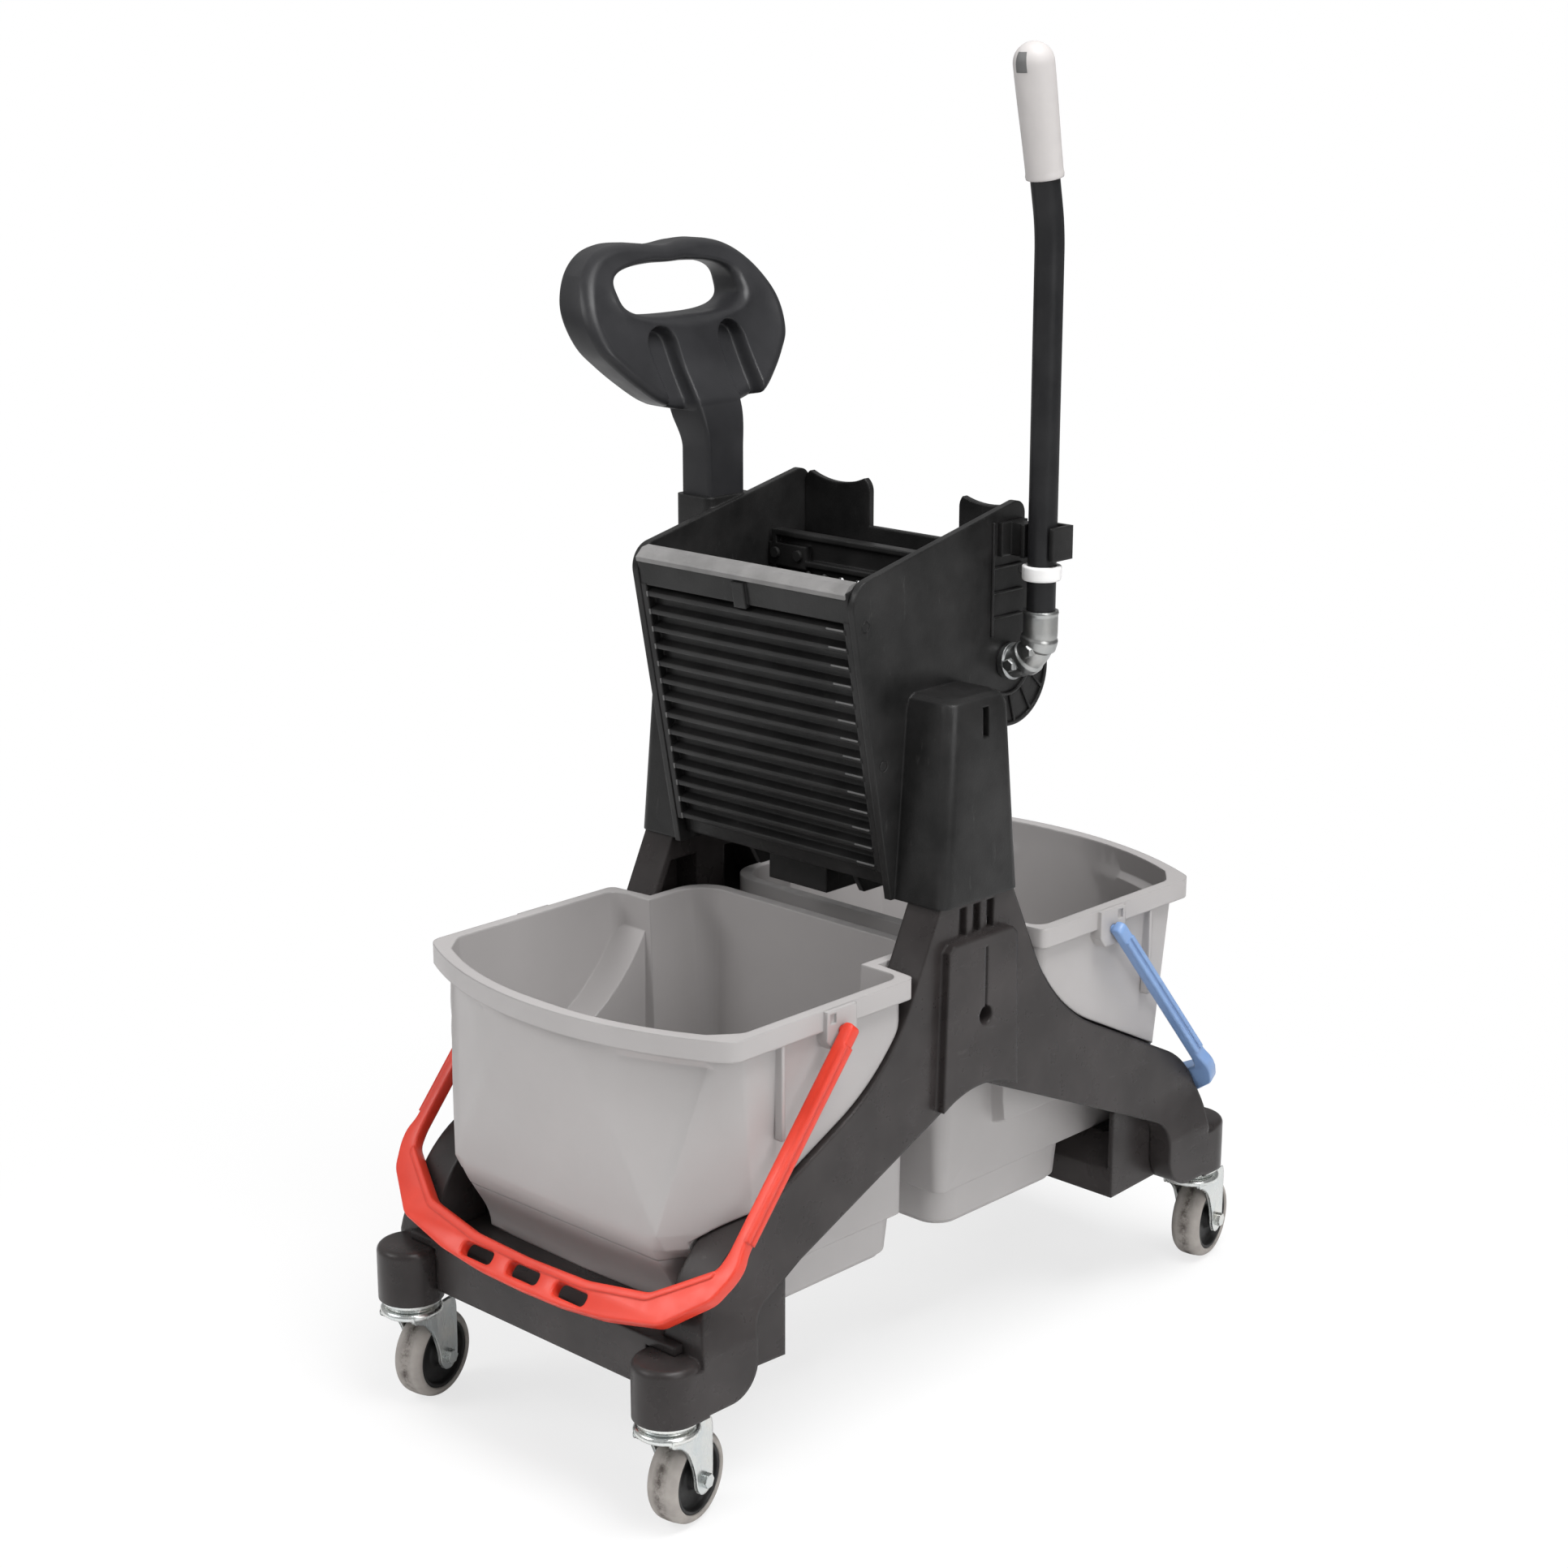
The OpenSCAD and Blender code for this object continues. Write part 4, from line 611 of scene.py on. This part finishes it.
# tyre and hub spun round the axle, the fork head round the stem, and a leg plate on each side of the wheel
def castorPieces(c, tag, sign):
    kinds = ("wheelTyre", "wheelCore", "castorFork")
    tyreName, coreName, forkName = (kind + tag.capitalize() for kind in kinds)
    ahead = np.array([math.cos(c["dir"]), math.sin(c["dir"]), 0.0])
    across = np.array([-ahead[1], ahead[0], 0.0])
    up = np.array([0.0, 0.0, 1.0])
    base = castorBase(c, sign)
    axle = base + ahead * c["trail"] + up * c["axleZ"]
    tyre = meshFromParts(tyreName, [(spun(castorProfile(c, "tyre"), axle, across, c["around"]), True)])
    offset = (meshPoints(tyre) - axle) @ across
    tyre.attributes.new("across", "FLOAT", "POINT").data.foreach_set("value", offset / c["tyreHalf"])
    addPiece(tyreName, tyre, "wheel_tyre_" + tag)
    core = meshFromParts(coreName, [(spun(castorProfile(c, "hub"), axle, across, c["around"]), True)])
    addPiece(coreName, core, "wheel_core_" + tag)
    parts = [(spun(castorProfile(c, "head"), base, up, c["around"]), True)]
    for side in (-1, 1):
        def place(p, side=side):
            return base + p[:, 0:1] * ahead + (p[:, 2:3] + side * c["legAt"]) * across + p[:, 1:2] * up
        leg = castorProfile(c, "leg")[::-1]
        parts.append(roundPlate([leg], -c["legHalf"], c["legHalf"], c["legEdge"], place))
    addPiece(forkName, meshFromParts(forkName, parts), "castor_fork_" + tag)


for tag, sign in castorCorners.items():
    castorPieces(castor, tag, sign)
stem = castorProfile(castor, "stem")
stems = [(spun(stem, castorBase(castor, sign), (0, 0, 1)), True) for sign in castorCorners.values()]
addPiece("castorStems", meshFromParts("castorStems", stems), "castor_stems")
print("castors made")


# lever: tube along a straight, a slow bend and a tail; domed grip, ring collar, cast elbow with raised bands.
# elbow is distance along it and radius, a bolt is its x, z and radius
lever = {"x": 0.167, "y": 0.093, "shaftZ": 0.648, "bendZ": 1.0, "bendR": 0.2, "bendA": math.radians(11.0),
         "tail": 0.130, "tubeR": 0.0125, "straightTo": 0.34, "bendRun": (0.345, 0.405), "tailFrom": 0.41,
         "tubeShort": 0.006, "tubeSteps": (20, 24, 12), "tubeSides": 64,
         "gripR": (0.0158, 0.0172), "gripLen": 0.106, "gripPast": 0.005, "gripLip": (0.0006, 0.02, 0.015),
         "gripSteps": 40, "gripSides": 72, "domeSteps": 16, "domeTip": 0.0004,
         "slot": (0.011, 0.016, 0.006), "slotSkin": (0.0003, -0.001), "slotSteps": (14, 12),
         "collarZ": (0.724, 0.737), "collarR": (0.0168, 0.0172), "collarBite": 0.0001, "collarRound": 0.0022,
         "elbowR": 0.032, "elbowLead": 0.0026, "elbowSteps": 142,
         "elbow": [(0.0, 0.0158), (0.006, 0.0164), (0.0075, 0.0142), (0.018, 0.0142), (0.020, 0.0158),
                   (0.0245, 0.0158), (0.0265, 0.0142), (0.038, 0.0142), (0.040, 0.0162), (0.046, 0.0162),
                   (0.048, 0.0150), (0.066, 0.0150), (0.0685, 0.0156), (0.0705, 0.0152)],
         "bolts": [(0.146, 0.648, 0.0062), (0.1655, 0.663, 0.0058)], "boltOut": (0.012, 0.0168, 0.0180),
         "boltTaper": (1.0, 1.0, 0.82), "boltSides": 6}
lever["top"] = lever["bendZ"] - lever["shaftZ"] + lever["bendR"] * lever["bendA"] + lever["tail"]


# points at given distances from the shaft: up the straight, round the bend's arc, on along the tail
def leverPath(v, distances):
    straight = v["bendZ"] - v["shaftZ"]
    arc = np.clip((distances - straight) / v["bendR"], 0, v["bendA"])
    tail = np.maximum(distances - straight - v["bendR"] * v["bendA"], 0)
    y = v["y"] - v["bendR"] * (1 - np.cos(arc)) - tail * np.sin(arc)
    z = v["shaftZ"] + np.minimum(distances, straight) + v["bendR"] * np.sin(arc) + tail * np.cos(arc)
    return np.stack([np.full(len(y), v["x"]), y, z], axis=1)


# circles carried up the lever, set closer round the bend
def leverTube(v):
    ends = ((v["elbowR"], v["straightTo"]), v["bendRun"], (v["tailFrom"], v["top"] - v["tubeShort"]))
    run = np.concatenate([np.linspace(low, high, n) for (low, high), n in zip(ends, v["tubeSteps"])])
    return carried(leverPath(v, run), (1, 0, 0), circles(v["tubeR"], v["tubeSides"]))


# distances along the lever and radii: a slow swell with a bell-shaped lip at its foot, then a quarter round
def gripProfile(v):
    low, high = v["gripR"]
    lipHigh, lipAt, lipReach = v["gripLip"]
    u = np.linspace(0, 1, v["gripSteps"])
    swelling = low + (high - low) * smoothStep(u) + lipHigh * np.exp(-((u - lipAt) / lipReach) ** 2)
    dome = np.linspace(0, np.pi / 2, v["domeSteps"])[1:]
    length = v["gripLen"] + v["gripPast"]
    run = np.concatenate([u * (length - high), length - high * (1 - np.sin(dome))])
    radii = np.concatenate([swelling, np.maximum(high * np.cos(dome), v["domeTip"])])
    return v["top"] - v["gripLen"] + run, radii


# slot on the grip's front as painted shade: a dark patch that follows the grip's own curve, a hair above it
def slotShadePatch(v, run, radii):
    wide, tall, drop = v["slot"]
    rows, cols = v["slotSteps"]
    reach = v["top"] + v["gripPast"] - drop - np.linspace(tall, 0, rows)
    half = np.linspace(-wide, wide, cols) / 2
    around = np.concatenate([half, half[::-1]]) / v["gripR"][1]
    ahead = -np.cos(around)
    out = np.stack([np.sin(around), ahead * math.cos(v["bendA"]), ahead * math.sin(v["bendA"])], axis=1)
    skin = np.interp(reach, run, radii)[:, None] + np.repeat(v["slotSkin"], cols)
    return leverPath(v, reach)[:, None] + skin[:, :, None] * out


# a ring with soft corners, spun round the tube
def leverCollar(v):
    (low, high), (foot, head) = v["collarZ"], v["collarR"]
    bore = v["tubeR"] - v["collarBite"]
    ring = softCorners([(bore, low), (foot, low), (head, high), (bore, high)], v["collarRound"])
    return spun(ring, (v["x"], v["y"], 0), (0, 0, 1))


# circles carried out of the shaft, round a quarter turn and up, with two six-sided bolt heads on the front
def leverElbow(v):
    at, radii = np.array(v["elbow"]).T
    lead, r = v["elbowLead"], v["elbowR"]
    span = np.linspace(0, at[-1], v["elbowSteps"])
    arc = np.clip((span - lead) / r, 0, np.pi / 2)
    rise = np.maximum(span - lead - r * np.pi / 2, 0)
    x = v["x"] - r - lead + np.minimum(span, lead) + r * np.sin(arc)
    z = v["shaftZ"] + r * (1 - np.cos(arc)) + rise
    path = np.stack([x, 0 * x + v["y"], z], axis=1)
    parts = [(carried(path, (0, 1, 0), circles(np.interp(span, at, radii), v["tubeSides"])), False)]
    y = v["y"] - np.array(v["boltOut"])
    for boltX, boltZ, size in v["bolts"]:
        path = np.stack([0 * y + boltX, y, 0 * y + boltZ], axis=1)
        head = circles(size * np.array(v["boltTaper"]), v["boltSides"])
        parts.append((carried(path, (1, 0, 0), head), False))
    return parts


def leverPieces(v):
    run, radii = gripProfile(v)
    grip = carried(leverPath(v, run), (1, 0, 0), circles(radii, v["gripSides"]))
    slot = meshFromParts("gripSlot", [(slotShadePatch(v, run, radii), False)])
    addPiece("leverTube", meshFromParts("leverTube", [(leverTube(v), False)]), "lever_tube")
    addPiece("leverGrip", meshFromParts("leverGrip", [(grip, False)]), "lever_grip")
    # the slot's dark grey patch is painted shade in place of the slot's recess
    addTrim("gripSlot", slot, "lever", "black_plastic", "ribGrey")
    addPiece("leverCollar", meshFromParts("leverCollar", [(leverCollar(v), True)]), "lever_collar")
    addPiece("leverElbow", meshFromParts("leverElbow", leverElbow(v)), "lever_elbow")


leverPieces(lever)
print("lever made")


# buckets: the node's shell cut into fine strips, its outer face drawn onto a ruled surface.
# each level of that surface lies between the tip's straight edge and the bowed rim: a flat front up to
# a crease, then a facet that fans out from the tip's corner; under the tip it runs back to the nose in an S
bucket = {"from": 0.235, "step": 0.0065, "low": 0.1665, "high": 0.3925, "wide": 0.169, "topZ": 0.411,
          "tip": (0.125, 0.332, 0.240), "corner": (0.172, 0.2914), "bow": (0.344, 0.3478), "crease": 0.027,
          "nose": (0.116, 0.127, 0.300), "soft": 0.0024, "fade": 0.014, "skin": 0.012, "rayFrom": 1.0,
          "topFade": (0.002, 0.008), "levels": 150, "spanSteps": 120, "reach": 0.2, "blur": 0.02,
          "grid": 0.001}


# along goes 0 at mid front, 1 at the crease, 2 at the corner; a bell curve softens the crease on each level
def bucketFace(b):
    tipX, tipY, tipZ = b["tip"]
    bowY, bowR = b["bow"]
    noseY = b["nose"][2]
    along = np.linspace(0, 2, 2 * b["spanSteps"] + 1)
    lowX = np.minimum(along, 1) * tipX
    highX = np.interp(along, (0, 1, 2), (0, b["crease"], b["corner"][0]))
    bowed = bowY - bowR + np.sqrt(bowR ** 2 - highX ** 2)
    bowed += np.maximum(along - 1, 0) * (b["corner"][1] - bowed[-1])
    chord = np.where(along < 1, bowed, np.interp(along, (1, 2), (bowed[b["spanSteps"]], bowed[-1])))
    reach, blur = (np.arange(-half, half + b["grid"] / 2, b["grid"]) for half in (b["reach"], b["blur"]))
    bell = np.exp(-0.5 * (blur / b["soft"]) ** 2)
    levels = np.linspace(b["low"], b["topZ"], b["levels"])
    rows = []
    for z in levels:
        t = np.clip((z - tipZ) / (b["topZ"] - tipZ), 0, 1)
        high = chord + (bowed - chord) * t ** 2
        x = (1 - t) * lowX + t * highX + tiny * along  # tiny keeps the places apart
        row = np.interp(np.abs(reach), x, (1 - t) * tipY + t * high)
        row = np.convolve(np.pad(row, len(bell) // 2, mode="edge"), bell / bell.sum(), mode="valid")
        under = smoothStep((z - b["low"]) / (tipZ - b["low"]))
        rows.append(np.where(z < tipZ, noseY + (row - noseY) * under, row))
    return levels, reach, np.array(rows)


# value of a table between its four nearest entries
def tableAt(rowAt, colAt, table, rowValues, colValues):
    row = np.interp(rowValues, rowAt, np.arange(len(rowAt)))
    col = np.interp(colValues, colAt, np.arange(len(colAt)))
    i, j = row.astype(int), col.astype(int)
    down, right = np.minimum(i + 1, len(rowAt) - 1), np.minimum(j + 1, len(colAt) - 1)
    u, v = row - i, col - j
    return (table[i, j] * (1 - v) + table[i, right] * v) * (1 - u) + (
        table[down, j] * (1 - v) + table[down, right] * v) * u


# the shell's front cut by planes of one height each, then by planes of one X each
def bucketStrips(b, node):
    mesh = meshOf("bucketStrips", *weldedShell(node))
    shell = bmesh.new()
    shell.from_mesh(mesh)
    bpy.data.meshes.remove(mesh)
    for axis, low, high in ((2, b["low"], b["high"]), (0, -b["wide"], b["wide"])):
        for level in np.linspace(low, high, int((high - low) / b["step"]) + 1):
            at, facing = [0, 0, 0], [0, 0, 0]
            at[axis], facing[axis] = level, 1
            near = [f for f in shell.faces if max(v.co.y for v in f.verts) > b["from"]]
            parts = set(near) | {e for f in near for e in f.edges} | {v for f in near for v in f.verts}
            bmesh.ops.bisect_plane(shell, geom=list(parts), dist=tiny, plane_co=at, plane_no=facing)
    bmesh.ops.triangulate(shell, faces=shell.faces)
    shell.verts.index_update()
    return shell


# points within a skin's depth of the outer face move with that face, less towards the sides, nose and rim
def bucketShape(b, node):
    shell = bucketStrips(b, node)
    tree = BVHTree.FromBMesh(shell)
    points = np.array([v.co for v in shell.verts])
    faces = [[v.index for v in f.verts] for f in shell.faces]
    shell.free()
    x, y, z = points.T
    near = np.flatnonzero((y >= b["from"]) & (z > b["low"]) & (z < b["high"]) & (np.abs(x) <= b["corner"][0]))
    back = Vector((0, -1, 0))
    hits = [tree.ray_cast(Vector((x[i], b["rayFrom"], z[i])), back)[0] for i in near]
    outerY = np.array([np.nan if hit is None else hit.y for hit in hits])
    onSkin = outerY - y[near] <= b["skin"]
    near, outerY = near[onSkin], outerY[onSkin]
    x, z = x[near], z[near]
    levels, reach, table = bucketFace(b)
    tipX, _, tipZ = b["tip"]
    noseIn, noseOut, _ = b["nose"]
    t = np.clip((z - tipZ) / (b["topZ"] - tipZ), 0, 1)
    end = tipX * (1 - t) + b["corner"][0] * t
    inNose = (noseOut - np.abs(x)) / (noseOut - noseIn)
    held = smoothStep(np.where(z >= tipZ, (end - np.abs(x)) / b["fade"], inNose))
    past, run = b["topFade"]
    held *= smoothStep((b["high"] + past - z) / run)
    points[near, 1] += held * (tableAt(levels, reach, table, z, x) - outerY)
    return points, faces


bucketPoints, bucketFaces = bucketShape(bucket, "rear_bucket")
for node, turn in (("front_bucket", -1), ("rear_bucket", 1)):
    turned = meshOf(camelName(node), bucketPoints * (turn, turn, 1), bucketFaces)
    addPiece(camelName(node), smoothed(turned), node)
print("buckets made,", len(bucketFaces), "faces each")


# right cheek: rim, ring and webs of the lobe under the elbow, and a stepped edge with webs behind the tube
lobe = {"faceX": 0.131, "at": (0.099, 0.636), "hub": (0.093, 0.648), "rim": (0.0440, 0.0472),
        "ring": (0.0285, 0.0315), "rimFrom": -125, "rimTo": 12, "rimSteps": 48, "spokes": (-85, -55, -25, 5),
        "high": 0.0024, "sunk": 0.0008, "half": 0.0011, "edge": 0.0005, "corner": (0.0006, 4),
        "stepY": 0.070, "stepZ": (0.672, 0.772), "webs": (0.688, 0.710, 0.732), "webTo": 0.110}


# each rib is a flat ring of points in Y and Z, raised off the cheek
def lobeRibs(v):
    def place(p):
        return np.stack([v["faceX"] + p[:, 2], p[:, 0], p[:, 1]], axis=1)

    def band(at, radii):
        a = np.radians(np.linspace(v["rimFrom"], v["rimTo"], v["rimSteps"]))
        turn = np.stack([np.cos(a), np.sin(a)], axis=1)
        return np.concatenate([turn * radii[1], turn[::-1] * radii[0]]) + at

    def bar(a, b):
        a, b = np.array(a), np.array(b)
        side = (b - a)[::-1] * (-1, 1) / np.linalg.norm(b - a) * v["half"]
        return softCorners([a - side, b - side, b + side, a + side], *v["corner"])

    rings = [band(v["at"], v["rim"]), band(v["hub"], v["ring"])]
    for angle in np.radians(v["spokes"]):
        turn = np.array([math.cos(angle), math.sin(angle)])
        rings.append(bar(np.array(v["hub"]) + turn * v["ring"][1], np.array(v["at"]) + turn * v["rim"][0]))
    rings.append(bar((v["stepY"], v["stepZ"][0]), (v["stepY"], v["stepZ"][1])))
    rings += [bar((v["stepY"], z), (v["webTo"], z)) for z in v["webs"]]
    return [roundPlate([ring], -v["sunk"], v["high"], v["edge"], place) for ring in rings]


# ribbed wall: a small flat at the right end of every rib and a pip at the left end, both light grey as
# painted highlight, each given as its run along X and its run up the wall from the rib's foot
ribs = {"wallY": -0.057, "wallZ": 0.463, "lean": math.radians(10.8), "first": 0.024, "last": 0.238,
        "count": 14, "tips": (((0.097, 0.1165), (0.0046, 0.0062)), ((-0.1172, -0.1155), (0.0015, 0.0065))),
        "sunk": 0.0004, "high": 0.0006, "edge": 0.0003, "corner": (0.0005, 4)}


# each tip is a small plate laid on the leaning wall, light grey as a painted highlight
def ribTips(r):
    def place(p):
        y = r["wallY"] - p[:, 1] * math.sin(r["lean"]) - p[:, 2] * math.cos(r["lean"])
        z = r["wallZ"] + p[:, 1] * math.cos(r["lean"]) - p[:, 2] * math.sin(r["lean"])
        return np.stack([p[:, 0], y, z], axis=1)

    parts = []
    for foot in np.linspace(r["first"], r["last"], r["count"]):
        for (left, right), (low, high) in r["tips"]:
            low, high = foot + low, foot + high
            ring = softCorners([(left, low), (right, low), (right, high), (left, high)], *r["corner"])
            parts.append(roundPlate([ring], -r["sunk"], r["high"], r["edge"], place))
    return parts


addTrim("lobeRibs", meshFromParts("lobeRibs", lobeRibs(lobe)), "chassis", "black_plastic", "wringerBlack")
# the rib tips' light grey is painted highlight on the black ribs
addTrim("ribTips", meshFromParts("ribTips", ribTips(ribs)), "chassis", "black_plastic", "ribGrey")
for node in nodes:
    if node not in madeNodes:
        addPiece(camelName(node), smoothed(meshOf(camelName(node), *weldedShell(node))), node)
print("pieces made")


# studio: pale floor, soft lamps, camera at the photograph's place; a lamp is its place, size and power
studio = {"cameraAt": (1.6765, -1.8125, 1.2102), "lookAt": (-0.0487, 0.0, 0.5203), "focalPixels": 3547.5,
          "imagePixels": 1932, "sensor": 36.0, "floorHalf": 6.0, "floorGlow": 0.72, "floorTone": 0.9,
          "shadowReach": (0.35, 0.95), "domeTo": (-0.25, -0.35, 0.9), "domeSpan": (-0.6, 1.0),
          "domeLight": (0.08, 0.58), "lampsTo": (0.0, 0.0, 0.45),
          "lamps": {"key": ((-1.6, -2.6, 2.6), 1.6, 43.0), "fill": ((3.0, -0.6, 1.7), 1.4, 30.0),
                    "top": ((1.1, -0.1, 3.1), 1.5, 84.0)}}
white = (1.0, 1.0, 1.0, 1.0)


def aimed(thing, place, target):
    thing.location = place
    thing.rotation_euler = (Vector(target) - Vector(place)).to_track_quat("-Z", "Y").to_euler()


# 1 where the camera, or the camera through a clear surface, looks straight at the backdrop
def whiteRays(tree):
    rays = addNode(tree, "ShaderNodeLightPath")
    return mathNode(tree, "MAXIMUM", (rays, "Is Camera Ray"), (rays, "Is Transmission Ray"))


# the floor glows white to the eye, less under the object so that its shadow stays
def paleFloor(look):
    mat, tree = newMaterial("paleFloor")
    coords = addNode(tree, "ShaderNodeTexCoord")
    away = addNode(tree, "ShaderNodeVectorMath", {"operation": "LENGTH"})
    link(tree, coords, "Object", away, 0)
    glow = ramp(tree, away, "Value", *look["shadowReach"], look["floorGlow"], 1.0)
    share = mathNode(tree, "MULTIPLY", (whiteRays(tree), 0), (glow, "Result"))
    lit = addNode(tree, "ShaderNodeBsdfDiffuse", Color=(look["floorTone"],) * 3 + (1.0,))
    shine = addNode(tree, "ShaderNodeEmission", Color=white, Strength=1.0)
    both = addNode(tree, "ShaderNodeMixShader")
    out = addNode(tree, "ShaderNodeOutputMaterial")
    for into, source in enumerate((share, lit, shine)):
        link(tree, source, 0, both, into)
    link(tree, both, 0, out, "Surface")
    return mat


# the dome is white to the eye; as light it grows from one side of the sky to the other
def skyDome(look):
    world = bpy.data.worlds.new("studio")
    world.use_nodes = True
    tree = world.node_tree
    tree.nodes.clear()
    coords = addNode(tree, "ShaderNodeTexCoord")
    towards = addNode(tree, "ShaderNodeVectorMath", {"operation": "DOT_PRODUCT"})
    towards.inputs[1].default_value = look["domeTo"]
    link(tree, coords, "Generated", towards, 0)
    dome = ramp(tree, towards, "Value", *look["domeSpan"], *look["domeLight"])
    strength = mathNode(tree, "MAXIMUM", (whiteRays(tree), 0), (dome, "Result"))
    sky = addNode(tree, "ShaderNodeBackground", Color=white)
    out = addNode(tree, "ShaderNodeOutputWorld")
    link(tree, strength, 0, sky, "Strength")
    link(tree, sky, "Background", out, "Surface")
    return world


def buildStudio(look):
    scene = bpy.context.scene
    camData = bpy.data.cameras.new("camera")
    camData.sensor_width = look["sensor"]
    camData.sensor_fit = "HORIZONTAL"
    camData.lens = look["focalPixels"] / look["imagePixels"] * camData.sensor_width
    scene.camera = addObject("camera", camData)
    aimed(scene.camera, look["cameraAt"], look["lookAt"])
    for name, (place, size, power) in look["lamps"].items():
        lamp = bpy.data.lights.new(name, "AREA")
        lamp.size = size
        lamp.energy = power
        aimed(addObject(name, lamp), place, look["lampsTo"])
    corners = np.array([(-1, -1, 0), (1, -1, 0), (1, 1, 0), (-1, 1, 0)]) * look["floorHalf"]
    mesh = meshOf("floor", corners, [(0, 1, 2, 3)])
    mesh.materials.append(paleFloor(look))
    addObject("floor", mesh)
    scene.world = skyDome(look)
    scene.view_settings.view_transform = "Standard"


buildStudio(studio)
print("studio set")
